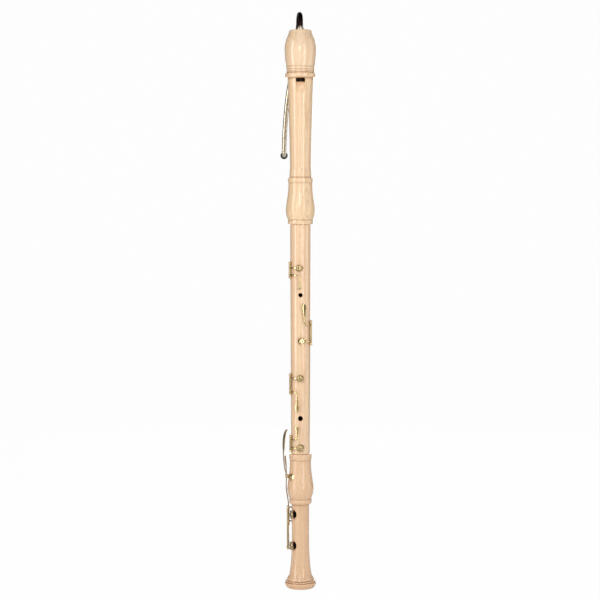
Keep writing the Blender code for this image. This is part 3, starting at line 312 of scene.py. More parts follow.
def sleeve(outer, inner, low, high, ease=0.0003):
    """The outline of a tube's wall with eased outer edges, as a loop."""
    return [
        (outer - ease, high), (outer, high - ease), (outer, low + ease), (outer - ease, low), (inner, low),
        (inner, high),
    ]


def bead(low, high, base_radius, crest_radius, steps=14):
    """A half-round bead on a turned outline, from its top to its bottom."""
    middle, half = (low + high) / 2, (high - low) / 2
    rise = crest_radius - base_radius
    angles = [math.pi * i / steps for i in range(steps + 1)]
    return [(base_radius + rise * math.sin(a) ** 0.6, middle + half * math.cos(a)) for a in angles]


def dense(outline, step=0.003):
    """The outline with its long straight runs split."""
    outline = [(*point, 0.0)[:3] for point in outline]
    result = []
    for here, beyond in zip(outline, [*outline[1:], outline[0]]):
        count = max(1, math.ceil(math.dist(here[:2], beyond[:2]) / step))
        result += [tuple(mixed(a, b, i / count) for a, b in zip(here, beyond)) for i in range(count)]
    return result


def creased(profile, reach=0.0015, depth=0.0007):
    """The profile, from its top down, with a share of painted shade where it dips below its surroundings."""
    low, high = profile[-1][1], profile[0][1]
    result = []
    for radius, height in profile:
        dip = 0.0
        if low + reach <= height <= high - reach:
            dip = (radius_at(profile, height - reach) + radius_at(profile, height + reach)) / 2 - radius
        result.append((radius, height, min(1.0, max(0.0, dip / depth))))
    return result


def mixed(start, end, share):
    return start + (end - start) * share


def radius_at(outline, height):
    for (r1, z1, *_), (r2, z2, *_) in zip(outline, outline[1:]):
        if z2 <= height <= z1 and z1 > z2:
            return mixed(r1, r2, (z1 - height) / (z1 - z2))
    raise ValueError(f"no outline at {height}")


def around(azimuth, distance, height):
    """A point round the bore's axis: azimuth 0 is the front, and positive is towards +X."""
    return Vector((distance * math.sin(azimuth), -distance * math.cos(azimuth), height))


def outward(azimuth, distance, height):
    """A placement whose Z points away from the bore's axis and whose Y points up."""
    side = Vector((math.cos(azimuth), math.sin(azimuth), 0.0))
    frame_axes = Matrix((side, (0, 0, 1), around(azimuth, 1.0, 0.0))).transposed().to_4x4()
    return Matrix.Translation(around(azimuth, distance, height)) @ frame_axes


def finished(work, name):
    """The mesh of a bmesh, which is then freed."""
    mesh = bpy.data.meshes.new(name)
    work.to_mesh(mesh)
    work.free()
    return mesh


def skin(rings, loop=False):
    """A closed mesh over rings of points. A loop joins its last ring to its first, with no end caps."""
    work = bmesh.new()
    made = [[work.verts.new(point) for point in ring] for ring in rings]
    following = [*made[1:], made[0]] if loop else made[1:]
    for here, beyond in zip(made, following):
        for i in range(len(here)):
            j = (i + 1) % len(here)
            work.faces.new((here[i], here[j], beyond[j], beyond[i]))
    if not loop:
        work.faces.new(made[0])
        work.faces.new(made[-1])
    bmesh.ops.recalc_face_normals(work, faces=work.faces)
    return finished(work, "skin")


def with_painted_shade(mesh, values):
    """The mesh with a share of painted shade for each of its points, which the materials read."""
    layer = mesh.attributes.new("tarnish", "FLOAT", "POINT")
    layer.data.foreach_set("value", values)
    return mesh


def revolve(outline, sides=metal_sides, loop=False):
    """A turned mesh from (radius, height) points, some with a share of painted shade as a third value."""
    turns = [2 * math.pi * i / sides for i in range(sides)]
    mesh = skin([[(r * math.cos(a), r * math.sin(a), z) for a in turns] for r, z, *_ in outline], loop)
    return with_painted_shade(mesh, [place[2] if len(place) > 2 else 0.0 for place in outline for _ in turns])


def placed(mesh, matrix):
    mesh.transform(matrix)
    return mesh


def joined(meshes):
    work = bmesh.new()
    for mesh in meshes:
        work.from_mesh(mesh)
    return finished(work, "joined")


def loft(stations, sides=bar_sides):
    """A rounded bar through (centre, half width vector, half thickness vector), with painted shade along its
    edges.
    """
    angles = [2 * math.pi * (i + 0.5) / sides for i in range(sides)]
    section = [
        (math.copysign(abs(u) ** bar_squareness, u), math.copysign(abs(v) ** bar_squareness, v))
        for u, v in ((math.cos(angle), math.sin(angle)) for angle in angles)
    ]
    rings = [[centre + across * u + through * v for u, v in section] for centre, across, through in stations]
    edges = [max(0.0, abs(math.cos(angle)) - bar_edge_from) * bar_edge_painted_shade for angle in angles]
    return with_painted_shade(skin(rings), edges * len(rings))


def linked(name, data):
    """A new object in the scene."""
    made = bpy.data.objects.new(name, data)
    bpy.context.scene.collection.objects.link(made)
    return made


def show(name, mesh, material, body, *nodes):
    """Put a finished mesh in the scene on its body, in place of its CAD nodes."""
    mesh.name = name
    mesh.materials.clear()
    mesh.materials.append(material)
    mesh.shade_smooth()
    mesh.set_sharp_from_angle(angle=sharp_angle)
    piece = linked(name, mesh)
    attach(piece, body)
    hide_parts(*nodes)


def carved(mesh, cutters):
    """The mesh with each cutter mesh taken out of it."""
    work = linked("carving", mesh)
    tools = []
    for cutter in cutters:
        tools.append(linked("carving_tool", cutter))
        modifier = work.modifiers.new("cut", "BOOLEAN")
        modifier.operation = "DIFFERENCE"
        modifier.solver = "EXACT"
        modifier.object = tools[-1]
    result = evaluated(work)
    for spent in [work, *tools]:
        bpy.data.objects.remove(spent, do_unlink=True)
    return result


def evaluated(obj):
    bpy.context.view_layer.update()
    graph = bpy.context.evaluated_depsgraph_get()
    return bpy.data.meshes.new_from_object(obj.evaluated_get(graph), depsgraph=graph)


def block_shape(low, high):
    work = bmesh.new()
    low, high = Vector(low), Vector(high)
    matrix = Matrix.Translation((low + high) / 2) @ Matrix.Diagonal((*(high - low), 1.0))
    bmesh.ops.create_cube(work, size=1.0, matrix=matrix)
    return finished(work, "block_shape")


# Geometry Nodes: a tube along a path, and a row of one turned piece

def new_tree(name, inputs):
    tree = bpy.data.node_groups.new(name, "GeometryNodeTree")
    tree.interface.new_socket("Geometry", in_out="OUTPUT", socket_type="NodeSocketGeometry")
    tree.interface.new_socket("Geometry", in_out="INPUT", socket_type="NodeSocketGeometry")
    for label, kind in inputs:
        tree.interface.new_socket(label, in_out="INPUT", socket_type=f"NodeSocket{kind}")
    return tree, tree.nodes.new("NodeGroupInput").outputs


def fill(tree, node, **inputs):
    """Set or link a node's inputs, by name with _ for a space, or by place as n0, n1 and so on."""
    for key, value in inputs.items():
        socket = node.inputs[int(key[1:]) if key[1:].isdigit() else key.replace("_", " ")]
        if isinstance(value, bpy.types.NodeSocket):
            tree.links.new(value, socket)
        else:
            socket.default_value = value


def add(tree, kind, settings=None, **inputs):
    node = tree.nodes.new(kind)
    for key, value in (settings or {}).items():
        setattr(node, key, value)
    fill(tree, node, **inputs)
    return node


def tube_tree():
    inputs = [("Start Radius", "Float"), ("End Radius", "Float"), ("Sides", "Int"), ("Material", "Material")]
    tree, given = new_tree("tube along a path", inputs)
    share = add(tree, "GeometryNodeSplineParameter").outputs["Factor"]
    radius = add(tree, "ShaderNodeMix", Factor=share, A=given["Start Radius"], B=given["End Radius"])
    ring = add(tree, "GeometryNodeCurvePrimitiveCircle", Resolution=given["Sides"], Radius=1.0)
    tube = add(
        tree, "GeometryNodeCurveToMesh", Curve=given["Geometry"], Profile_Curve=ring.outputs["Curve"],
        Scale=radius.outputs["Result"], Fill_Caps=True,
    )
    finish_tree(tree, tube.outputs["Mesh"], given["Material"])
    return tree


def row_tree():
    tree, given = new_tree("row of a turned piece", [("Piece", "Object"), ("Material", "Material")])
    piece = add(tree, "GeometryNodeObjectInfo", Object=given["Piece"])
    out = add(tree, "GeometryNodeInputNamedAttribute", {"data_type": "FLOAT_VECTOR"}, Name="out")
    up = add(tree, "GeometryNodeInputNamedAttribute", {"data_type": "FLOAT_VECTOR"}, Name="up")
    turn = add(tree, "FunctionNodeAlignRotationToVector", {"axis": "Z"}, Vector=out.outputs["Attribute"])
    turn = add(
        tree, "FunctionNodeAlignRotationToVector", {"axis": "Y", "pivot_axis": "Z"},
        Rotation=turn.outputs["Rotation"], Vector=up.outputs["Attribute"],
    )
    row = add(
        tree, "GeometryNodeInstanceOnPoints", Points=given["Geometry"], Instance=piece.outputs["Geometry"],
        Rotation=turn.outputs["Rotation"],
    )
    finish_tree(tree, row.outputs["Instances"], given["Material"])
    return tree


def finish_tree(tree, geometry, material):
    real = add(tree, "GeometryNodeRealizeInstances", Geometry=geometry)
    painted = add(tree, "GeometryNodeSetMaterial", Geometry=real.outputs["Geometry"], Material=material)
    add(tree, "NodeGroupOutput", n0=painted.outputs["Geometry"])


def grown(source, tree, values):
    """The mesh that a tree makes from a source object, which is then removed."""
    modifier = source.modifiers.new("growing", "NODES")
    modifier.node_group = tree
    for socket in tree.interface.items_tree:
        if socket.in_out == "INPUT" and socket.name in values:
            modifier[socket.identifier] = values[socket.name]
    mesh = evaluated(source)
    bpy.data.objects.remove(source, do_unlink=True)
    return mesh


def tube(points, start, end, material, cyclic=False, sides=ring_sides):
    path = bpy.data.curves.new("path", "CURVE")
    path.dimensions = "3D"
    spline = path.splines.new("POLY")
    spline.points.add(len(points) - 1)
    for place, point in zip(points, spline.points):
        point.co = (*place, 1.0)
    spline.use_cyclic_u = cyclic
    values = {"Start Radius": start, "End Radius": end, "Sides": sides, "Material": material}
    return grown(linked("path", path), tubes, values)


def row(places, piece_mesh, material):
    """Copies of a mesh at (point, outward vector, upward vector) places."""
    points = bpy.data.meshes.new("places")
    points.from_pydata([place for place, _, _ in places], [], [])
    for label, index in (("out", 1), ("up", 2)):
        attribute = points.attributes.new(label, "FLOAT_VECTOR", "POINT")
        for value, place in zip(attribute.data, places):
            value.vector = place[index]
    piece = linked("row_piece", piece_mesh)
    mesh = grown(linked("places", points), rows, {"Piece": piece, "Material": material})
    bpy.data.objects.remove(piece, do_unlink=True)
    return mesh


# Materials

def effect(name, inputs, outputs):
    tree = bpy.data.node_groups.new(name, "ShaderNodeTree")
    for label, kind, value in inputs:
        socket = tree.interface.new_socket(label, in_out="INPUT", socket_type=f"NodeSocket{kind}")
        if value is not None:
            socket.default_value = value
    for label, kind in outputs:
        tree.interface.new_socket(label, in_out="OUTPUT", socket_type=f"NodeSocket{kind}")
    return tree, tree.nodes.new("NodeGroupInput").outputs, tree.nodes.new("NodeGroupOutput").inputs


def math_of(tree, operation, a, b):
    return add(tree, "ShaderNodeMath", {"operation": operation}, n0=a, n1=b).outputs[0]


def vector_of(tree, operation, output, vector, **inputs):
    return add(tree, "ShaderNodeVectorMath", {"operation": operation}, n0=vector, **inputs).outputs[output]


def scaled(tree, vector, across, along):
    """Coordinates stretched along the bore: across and along are in cycles per metre."""
    return vector_of(tree, "MULTIPLY", "Vector", vector, n1=(across, across, along))


def noise(tree, vector, detail=2.0, roughness=0.5, distortion=0.0):
    settings = {"Detail": detail, "Roughness": roughness, "Distortion": distortion}
    return add(tree, "ShaderNodeTexNoise", Vector=vector, Scale=1.0, **settings).outputs["Fac"]


def ranged(tree, value, low, high, to_low=0.0, to_high=1.0):
    return add(
        tree, "ShaderNodeMapRange", {"interpolation_type": "SMOOTHSTEP"}, Value=value,
        From_Min=low, From_Max=high, To_Min=to_low, To_Max=to_high,
    ).outputs["Result"]


def grain_effect():
    """Turned wood: growth rings round a distant pith, streaks, flecks and pores, along the bore."""
    tree, given, out = effect(
        "wood grain",
        [("Vector", "Vector", None), ("Pith", "Vector", (0.07, 0.05, 0.0)), ("Ring Width", "Float", 0.003),
         ("Waviness", "Float", 0.004)],
        [(label, "Float") for label in ("Rings", "Streaks", "Bands", "Flecks", "Pores", "Cloud")],
    )
    away = vector_of(tree, "SUBTRACT", "Vector", given["Vector"], n1=given["Pith"])
    length = vector_of(tree, "LENGTH", "Value", scaled(tree, away, 1.0, 0.03))
    sway = math_of(tree, "MULTIPLY", noise(tree, scaled(tree, given["Vector"], 18.0, 3.5)), given["Waviness"])
    count = math_of(tree, "DIVIDE", math_of(tree, "ADD", length, sway), given["Ring Width"])
    saw = math_of(tree, "FRACT", count, 0.0)
    late = ranged(tree, saw, 0.55, 0.93)
    fall = ranged(tree, saw, 0.93, 1.0, 1.0, 0.0)
    tree.links.new(math_of(tree, "MULTIPLY", late, fall), out["Rings"])
    patterns = (
        # cycles per metre across and along, detail, roughness, where it starts and is full
        ("Streaks", 520.0, 7.0, 3.0, 0.6, 0.32, 0.68),
        ("Bands", 190.0, 2.6, 1.0, 0.5, 0.36, 0.62),
        ("Flecks", 900.0, 130.0, 1.0, 0.5, 0.62, 0.74),
        ("Pores", 2600.0, 90.0, 0.0, 0.5, 0.70, 0.78),
        ("Cloud", 22.0, 5.0, 2.0, 0.5, 0.3, 0.7),
    )
    for label, across, along, detail, roughness, low, high in patterns:
        pattern = noise(tree, scaled(tree, given["Vector"], across, along), detail, roughness)
        tree.links.new(ranged(tree, pattern, low, high), out[label])
    return tree


def wear_effect():
    """Handled metal: soft blotches of dull oxide, and fine random scratches and hand polish."""
    tree, given, out = effect(
        "handled metal",
        [("Vector", "Vector", None), ("Blotch Scale", "Float", 120.0), ("Scratch Scale", "Float", 1400.0)],
        [("Tarnish", "Float"), ("Polish", "Float"), ("Height", "Float")],
    )
    spread = vector_of(tree, "SCALE", "Vector", given["Vector"], Scale=given["Blotch Scale"])
    tree.links.new(ranged(tree, noise(tree, spread, 4.0, 0.62), 0.45, 0.75), out["Tarnish"])
    fine = vector_of(tree, "SCALE", "Vector", given["Vector"], Scale=given["Scratch Scale"])
    lines = noise(tree, scaled(tree, fine, 1.0, 0.12), 2.0, 0.5, 0.6)
    tree.links.new(ranged(tree, lines, 0.35, 0.65), out["Polish"])
    tree.links.new(lines, out["Height"])
    return tree


def new_material(name, **constants):
    """A material, with its shader and Object coordinates. Constants are values of the shader's inputs."""
    material = bpy.data.materials.new(name)
    material.use_nodes = True
    tree = material.node_tree
    shader = tree.nodes["Principled BSDF"]
    fill(tree, shader, **constants)
    place = add(tree, "ShaderNodeTexCoord").outputs["Object"]
    return material, tree, shader, place


def use(tree, group, vector, **values):
    node = tree.nodes.new("ShaderNodeGroup")
    node.node_tree = group
    fill(tree, node, Vector=vector, **values)
    return node.outputs


def blend_colours(tree, share, low, high, amount=1.0):
    """Mix two colours or colour sockets by a share socket."""
    if amount != 1.0:
        share = math_of(tree, "MULTIPLY", share, amount)
    low, high = (tone if isinstance(tone, bpy.types.NodeSocket) else (*tone, 1.0) for tone in (low, high))
    return add(tree, "ShaderNodeMix", {"data_type": "RGBA"}, n0=share, n6=low, n7=high).outputs[2]


def bumped(tree, height, distance):
    return add(tree, "ShaderNodeBump", Height=height, Distance=distance, Strength=1.0).outputs["Normal"]


# The share of painted shade that a mesh carries in its attribute
def painted_shade_share(tree):
    return add(tree, "ShaderNodeAttribute", {"attribute_name": "tarnish"}).outputs["Fac"]


def turned_wood(name, light, dark, line, fleck, pith, ring_width, bore):
    """Lacquered turned wood, oiled in the bore, which is painted near-black as shade. Joints are of different
    billets, in pith and tone; the foot's darker tone is painted shade.
    """
    material, tree, shader, place = new_material(
        name, Coat_Roughness=0.17, IOR=1.48, Specular_IOR_Level=0.4, Coat_IOR=1.5,
    )
    grain = use(tree, grain_group, place, Pith=pith, Ring_Width=ring_width)
    layers = (
        ("Cloud", dark, 0.5), ("Bands", dark, 0.7), ("Streaks", dark, 0.5), ("Rings", line, 0.3),
        ("Flecks", fleck, 0.35), ("Pores", line, 0.5),
    )
    colour = light
    for label, tone, amount in layers:
        colour = blend_colours(tree, grain[label], colour, tone, amount)
    # Painted shade in the turned grooves and creases, darker where the outline dips
    colour = blend_colours(tree, painted_shade_share(tree), colour, crease_painted_shade, 0.62)
    away = vector_of(tree, "LENGTH", "Value", scaled(tree, place, 1.0, 0.0))
    outside = ranged(tree, away, bore, bore + 0.0012)
    satin = ranged(tree, grain["Streaks"], 0.0, 1.0, 0.34, 0.46)
    fill(
        tree, shader,
        # Inside the bore, near-black painted shade
        Base_Color=blend_colours(tree, outside, painted_bore_shade, colour),
        Coat_Weight=outside,
        Roughness=math_of(tree, "MAXIMUM", satin, math_of(tree, "SUBTRACT", 0.95, outside)),
        Normal=bumped(tree, math_of(tree, "SUBTRACT", grain["Streaks"], grain["Pores"]), 0.00002),
    )
    return material


def metal(name, colour, tarnish, tarnish_amount, polish_low, polish_high, painted_shade_colour=(0.05, 0.03, 0.015)):
    """Handled metal, with random tarnish blotches. The mesh's attribute blends in a near-black colour as
    painted shade and dark painted reflection in hollows, grooves and along edges.
    """
    material, tree, shader, place = new_material(name, Metallic=1.0)
    wear = use(tree, wear_group, place)
    worn = blend_colours(tree, wear["Tarnish"], colour, tarnish, tarnish_amount)
    fill(
        tree, shader,
        # Painted shade and dark painted reflection, from the mesh's attribute
        Base_Color=blend_colours(tree, painted_shade_share(tree), worn, painted_shade_colour),
        Roughness=ranged(tree, wear["Polish"], 0.0, 1.0, polish_low, polish_high),
        Normal=bumped(tree, wear["Height"], 0.000004),
    )
    return material


def cork_material():
    material, tree, shader, place = new_material("cork", Specular_IOR_Level=0.25)
    spread = scaled(tree, place, 900.0, 900.0)
    cells = add(tree, "ShaderNodeTexVoronoi", Vector=spread, Scale=1.0).outputs["Distance"]
    specks = ranged(tree, noise(tree, scaled(tree, place, 420.0, 420.0), 3.0), 0.60, 0.70)
    colour = blend_colours(tree, cells, (0.52, 0.33, 0.17), (0.66, 0.46, 0.27))
    fill(
        tree, shader,
        Base_Color=blend_colours(tree, specks, colour, (0.16, 0.08, 0.04), 0.8),
        Roughness=ranged(tree, specks, 0.0, 1.0, 0.8, 0.95),
        Normal=bumped(tree, cells, 0.0001),
    )
    return material


def resin_material():
    material, tree, shader, place = new_material("black_resin", Coat_Roughness=0.08, Coat_Weight=0.05)
    wear = use(tree, wear_group, place)
    fill(
        tree, shader,
        Base_Color=blend_colours(tree, wear["Tarnish"], (0.006, 0.006, 0.006), (0.02, 0.018, 0.016)),
        Roughness=ranged(tree, wear["Polish"], 0.0, 1.0, 0.16, 0.30),
    )
    return material


def leather_material():
    material, tree, shader, place = new_material("pad_leather", Specular_IOR_Level=0.3)
    spread = scaled(tree, place, 1600.0, 1600.0)
    cells = add(tree, "ShaderNodeTexVoronoi", {"feature": "DISTANCE_TO_EDGE"}, Vector=spread, Scale=1.0)
    folds = ranged(tree, cells.outputs["Distance"], 0.0, 0.12)
    fill(
        tree, shader,
        Base_Color=blend_colours(tree, folds, (0.62, 0.52, 0.38), (0.86, 0.80, 0.68)),
        Roughness=ranged(tree, folds, 0.0, 1.0, 0.85, 0.62),
        Normal=bumped(tree, folds, 0.00006),
    )
    return material


crease_painted_shade = (0.42, 0.17, 0.06)
painted_bore_shade = (0.012, 0.004, 0.003)
grain_group = grain_effect()
wear_group = wear_effect()
tubes = tube_tree()
rows = row_tree()

# Woods: light, dark, ring line and fleck colours, pith, ring width, and the radius inside which the bore is
# painted near-black as shade
head_maple = turned_wood(
    "head_maple", (0.94, 0.75, 0.46), (0.87, 0.58, 0.36), (0.60, 0.33, 0.14), (0.72, 0.45, 0.23),
    (0.06, -0.09, 0.0), 0.0034, 0.0148,
)
centre_maple = turned_wood(
    "centre_maple", (0.93, 0.74, 0.46), (0.87, 0.56, 0.36), (0.56, 0.31, 0.13), (0.70, 0.42, 0.22),
    (-0.05, 0.12, 0.2), 0.0030, 0.0170,
)
# The foot is darker and redder than the other joints: painted shade, for less light falling towards the
# bottom
foot_maple = turned_wood(
    "foot_maple", (0.90, 0.62, 0.39), (0.82, 0.52, 0.31), (0.53, 0.28, 0.13), (0.64, 0.37, 0.20),
    (0.10, 0.05, -0.1), 0.0028, 0.0155,
)
cap_maple = turned_wood(
    "cap_maple", (0.95, 0.80, 0.55), (0.88, 0.60, 0.38), (0.58, 0.31, 0.13), (0.72, 0.45, 0.23),
    (0.08, -0.03, 1.1), 0.0036, 0.0064,
)
cedar = turned_wood(
    "cedar", (0.50, 0.25, 0.12), (0.38, 0.17, 0.08), (0.22, 0.09, 0.04), (0.30, 0.13, 0.06),
    (0.04, 0.03, 0.0), 0.0016, 0.0,
)
brass = metal("brass", (0.86, 0.66, 0.34), (0.45, 0.29, 0.11), 0.45, 0.10, 0.20)
# The silver's last colour is the near-black painted reflection on the crook's arch
silver = metal("silver", (0.80, 0.71, 0.55), (0.40, 0.28, 0.15), 0.60, 0.14, 0.26, (0.010, 0.005, 0.005))
steel = metal("steel", (0.55, 0.56, 0.58), (0.38, 0.37, 0.36), 0.3, 0.22, 0.34)
cork = cork_material()
resin = resin_material()
leather = leather_material()


# Turned joints, with outlines that run from the top to the bottom

def foot_profile():
    bulge = curve([
        (foot_throat_radius - 0.0002, foot_top_bead_low - 0.002),
        (foot_throat_radius + 0.0003, foot_throat_height),
        (foot_bulge_radius - 0.0019, foot_bulge_height + 0.016), (foot_bulge_radius, foot_bulge_height),
        (foot_bulge_radius - 0.0016, foot_bead_high + 0.011),
        (foot_bead_radius - 0.0006, foot_bead_high + 0.0005),
    ], 10)
    column = [(foot_neck_radius, foot_bead_low - 0.006)]
    for i in range(31):
        height = mixed(foot_flare_height, foot_bell_shoulder, i / 30)
        share = 1.0 - height / foot_flare_height
        column.append((foot_neck_radius + foot_flare_reach * share**foot_flare_power, height))
    shoulder, top = column[-1][0], foot_bell_shoulder
    lip = foot_bell_radius - shoulder
    shoulder_steps = ((0.0, 0.0), (0.16, 0.0034), (0.36, 0.0062), (0.50, 0.0090), (0.54, 0.0104))
    groove, crest = shoulder + lip * 0.62, shoulder + lip * 0.86
    rim = curve([
        (foot_bell_radius - 0.0012, foot_bell_centre + 0.0008),
        (foot_bell_radius - 0.0001, foot_bell_centre - 0.0010),
        (foot_bell_radius - 0.0004, foot_bell_centre - 0.0034),
        (foot_bell_radius - 0.0020, foot_bell_centre - 0.0070),
        (foot_bell_radius - 0.0042, 0.0014), (foot_bell_radius - 0.0058, 0.0),
    ], 8)
    return [
        *bead(foot_top_bead_low, foot_height, foot_top_bead_radius - 0.0012, foot_top_bead_radius),
        (foot_throat_radius - 0.0006, foot_top_bead_low - 0.0008),
        *bulge,
        *bead(foot_bead_low, foot_bead_high, foot_bead_radius - 0.0014, foot_bead_radius),
        (foot_neck_radius + 0.0012, foot_bead_low - 0.0012),
        (foot_neck_radius + 0.0003, foot_bead_low - 0.0030),
        *column[:-1],
        *curve([(shoulder + lip * out, top - down) for out, down in shoulder_steps], 5),
        (shoulder + lip * 0.42, top - 0.0110),
        (shoulder + lip * 0.42, top - 0.0114),
        *bead(top - 0.0146, top - 0.0116, groove, crest, 10),
        (groove, top - 0.0150),
        (groove, top - 0.0154),
        *rim,
    ]


def head_profile():
    ring_low = head_throat_height + 0.002
    ring_high = ring_low + head_ring_width
    bead_low = head_top - head_top_bead_width
    bulge_low = head_base + head_low_bead_width
    waist, throat = head_waist_radius, head_throat_radius
    body = curve([
        (head_top_radius, bead_low - 0.0012), (head_top_radius - 0.0017, head_waist_height + 0.138),
        (waist + 0.0010, head_waist_height + 0.056), (waist, head_waist_height),
        (waist + 0.0007, ring_high + 0.014), (waist + 0.0013, ring_high + 0.0012),
    ], 10)
    bulge = curve([
        (throat, head_throat_height), (throat + 0.0016, head_throat_height - 0.022),
        (head_bulge_radius - 0.0012, head_bulge_height + 0.017), (head_bulge_radius, head_bulge_height),
        (head_bulge_radius - 0.0019, bulge_low + 0.008), (head_low_bead_radius - 0.0002, bulge_low + 0.0008),
    ], 10)
    return [
        (cap_base_radius - 0.0008, head_top),
        (cap_base_radius - 0.0004, head_top - 0.0005),
        (cap_base_radius - 0.0004, head_top - 0.0036),
        (cap_base_radius - 0.0014, head_top - 0.0042),
        *bead(bead_low, head_top - 0.0044, head_top_bead_radius - 0.0020, head_top_bead_radius),
        (head_top_radius + 0.0008, bead_low - 0.0004),
        *body,
        (waist + 0.0010, ring_high),
        *bead(ring_low, ring_high - 0.0004, head_ring_radius - 0.0014, head_ring_radius),
        (throat + 0.0002, ring_low - 0.0006),
        *bulge,
        *bead(head_base, bulge_low, head_low_bead_radius - 0.0012, head_low_bead_radius),
    ]


def cap_profile():
    rise = cap_top - cap_base - cap_belly_height
    crown = curve([
        (cap_top_radius + 0.0008, cap_top - 0.0022), (cap_top_radius + 0.0024, cap_top - rise * 0.22),
        (cap_belly_radius - 0.0026, cap_top - rise * 0.58), (cap_belly_radius, cap_base + cap_belly_height),
        (cap_belly_radius - 0.0010, cap_base + cap_belly_height * 0.55),
        (cap_base_radius + 0.0004, cap_base + 0.0095),
    ], 10)
    return [
        (cap_top_radius - 0.0022, cap_top),
        (cap_top_radius - 0.0010, cap_top - 0.0002),
        (cap_top_radius - 0.0001, cap_top - 0.0009),
        *crown,
        (cap_base_radius - 0.0002, cap_base + 0.0089),
        *bead(cap_base + 0.0036, cap_base + 0.0084, cap_base_radius - 0.0004, cap_base_radius + 0.0002, 10),
        (cap_base_radius - 0.0010, cap_base + 0.0032),
        (cap_base_radius - 0.0003, cap_base + 0.0026),
        (cap_base_radius - 0.0008, cap_base),
    ]


def tenon(radius, near, far):
    """A tenon's outline from its shoulder outwards, with the groove for its cork."""
    way = math.copysign(1.0, far - near)
    start, end = near + way * cork_margin, far - way * cork_margin
    return [
        (radius, near), (radius, start), (radius - cork_depth, start), (radius - cork_depth, end),
        (radius, end), (radius, far - way * 0.0010), (radius - 0.0006, far),
    ]


def seat_distance(surface, radius):
    return math.sqrt(surface**2 - (radius + seat_clearance) ** 2)


def seat_cut(azimuth, height, surface, radius):
    flat = revolve([(radius + seat_clearance, 0.02), (radius + seat_clearance, 0.0)], fitting_sides)
    return placed(flat, outward(azimuth, seat_distance(surface, radius), height))


def hole_cut(azimuth, height, radius, mouth):
    """A tone hole with a softened edge. The mouth is its distance from the bore's axis."""
    outline = [
        (radius + 0.0040, mouth + 0.0040),
        (radius + 0.0007, mouth + 0.0002),
        (radius + 0.0002, mouth - 0.0003),
        (radius, mouth - 0.0010),
        (radius, 0.001),
    ]
    return placed(revolve(outline, fitting_sides), outward(azimuth, 0.0, height))


def make_foot_joint():
    profile = foot_profile()
    floor = foot_height - foot_socket_depth
    socket = socket_radius(low_tenon_radius)
    inner = [(foot_bore, 0.0), (foot_bore + foot_bore_flare, floor), (socket, floor), (socket, foot_height)]
    seats, holes = [], []
    for height in (upper_cup_height, lower_cup_height):
        surface = radius_at(profile, height)
        seats.append(seat_cut(foot_cup_azimuth, height, surface, foot_cup_radius))
        mouth = seat_distance(surface, foot_cup_radius)
        holes.append(hole_cut(foot_cup_azimuth, height, foot_hole_radius, mouth))
    wood = revolve(dense(creased(profile) + inner), turned_sides, loop=True)
    show("turned_foot", carved(wood, [joined(seats), joined(holes)]), foot_maple, "foot", "foot_joint")
    return profile


def socket_radius(tenon_radius):
    return tenon_radius + cork_proud + gap


def centre_radius(height):
    return mixed(centre_low_radius, centre_high_radius, (height - centre_base) / centre_length)


def make_centre_joint():
    top, base = centre_top, centre_base
    outline = [
        *reversed(tenon(high_tenon_radius, top, top + high_tenon_length)),
        (centre_high_radius - 0.0006, top),
        (centre_high_radius, top - 0.0008),
        (centre_low_radius, base + 0.0008),
        (centre_low_radius - 0.0006, base),
        *tenon(low_tenon_radius, base, base - low_tenon_length),
        (centre_low_bore, base - low_tenon_length),
        (centre_high_bore, top + high_tenon_length),
    ]
    seats, holes = [], []
    for _, _, _, _, hole, cup_at, cup_turn, *_ in finger_keys:
        azimuth, height = math.radians(cup_turn), base + cup_at
        surface = centre_radius(height)
        seats.append(seat_cut(azimuth, height, surface, cup_radius))
        holes.append(hole_cut(azimuth, height, hole, seat_distance(surface, cup_radius)))
    for above, radius in open_holes:
        height = base + above
        mouth = centre_radius(height) - radius**2 / (4 * centre_high_radius)
        holes.append(hole_cut(0.0, height, radius, mouth))
    bush = thumb_hole_radius + bush_wall + gap
    thumb_hole = revolve([(bush, 0.03), (bush, 0.001)], fitting_sides)
    holes.append(placed(thumb_hole, outward(math.pi, 0.0, thumb_hole_height)))
    wood = carved(revolve(dense(outline), turned_sides, loop=True), [joined(seats), joined(holes)])
    show("turned_centre", wood, centre_maple, "centre", "centre_joint")


def make_head_joint():
    socket, socket_top = socket_radius(high_tenon_radius), head_base + head_socket_depth
    tenon_top = head_top + head_tenon_length
    outline = [
        *reversed(tenon(head_tenon_radius, head_top, tenon_top)),
        *creased(head_profile()),
        (socket, head_base),
        (socket, socket_top),
        (head_bore, socket_top),
        (head_bore, tenon_top),
    ]
    half, front, edge = window_width / 2, -head_top_bead_radius - 0.005, labium_edge_radius
    window = block_shape((-half, front, window_base), (half, -head_bore / 2, window_top))
    windway = block_shape(
        (-half, -edge - windway_height / 2, window_top - 0.001), (half, -head_bore / 2, tenon_top + 0.001),
    )
    slope = labium_length / (head_top_radius - 0.0008 - edge)
    edge_height = window_base + 0.0002
    low = edge_height - slope * (-front - edge)
    ramp = skin([[(x, -edge, edge_height), (x, front, edge_height), (x, front, low)] for x in (-half, half)])
    wood = carved(revolve(dense(outline), turned_sides, loop=True), [window, windway, ramp])
    show("turned_head", wood, head_maple, "head", "head_joint")


def make_block():
    low, high = window_top, head_top + head_tenon_length
    radius, half, ease = head_bore - gap, window_width / 2 - gap, 0.0004
    plug = [(radius - ease, high), (radius, high - ease), (radius, low + ease), (radius - ease, low)]
    floor = block_shape((-half, -windway_floor_radius, low + 0.00005), (half, 0.0, high - 0.00005))
    show("windway_block", joined([revolve(plug, cork_sides), floor]), cedar, "head", "block")


def make_cap():
    socket, socket_top = socket_radius(head_tenon_radius), cap_base + head_tenon_length + 0.002
    chamber_top = cap_top - cap_crown_thickness
    hole = crook_cork_radius + gap
    inner = [
        (socket, cap_base), (socket, socket_top), (cap_chamber_radius, socket_top),
        (cap_chamber_radius, chamber_top), (hole, chamber_top), (hole, cap_top),
    ]
    wood = revolve(dense(creased(cap_profile()) + inner), turned_sides, loop=True)
    show("turned_cap", wood, cap_maple, "cap", "cap")


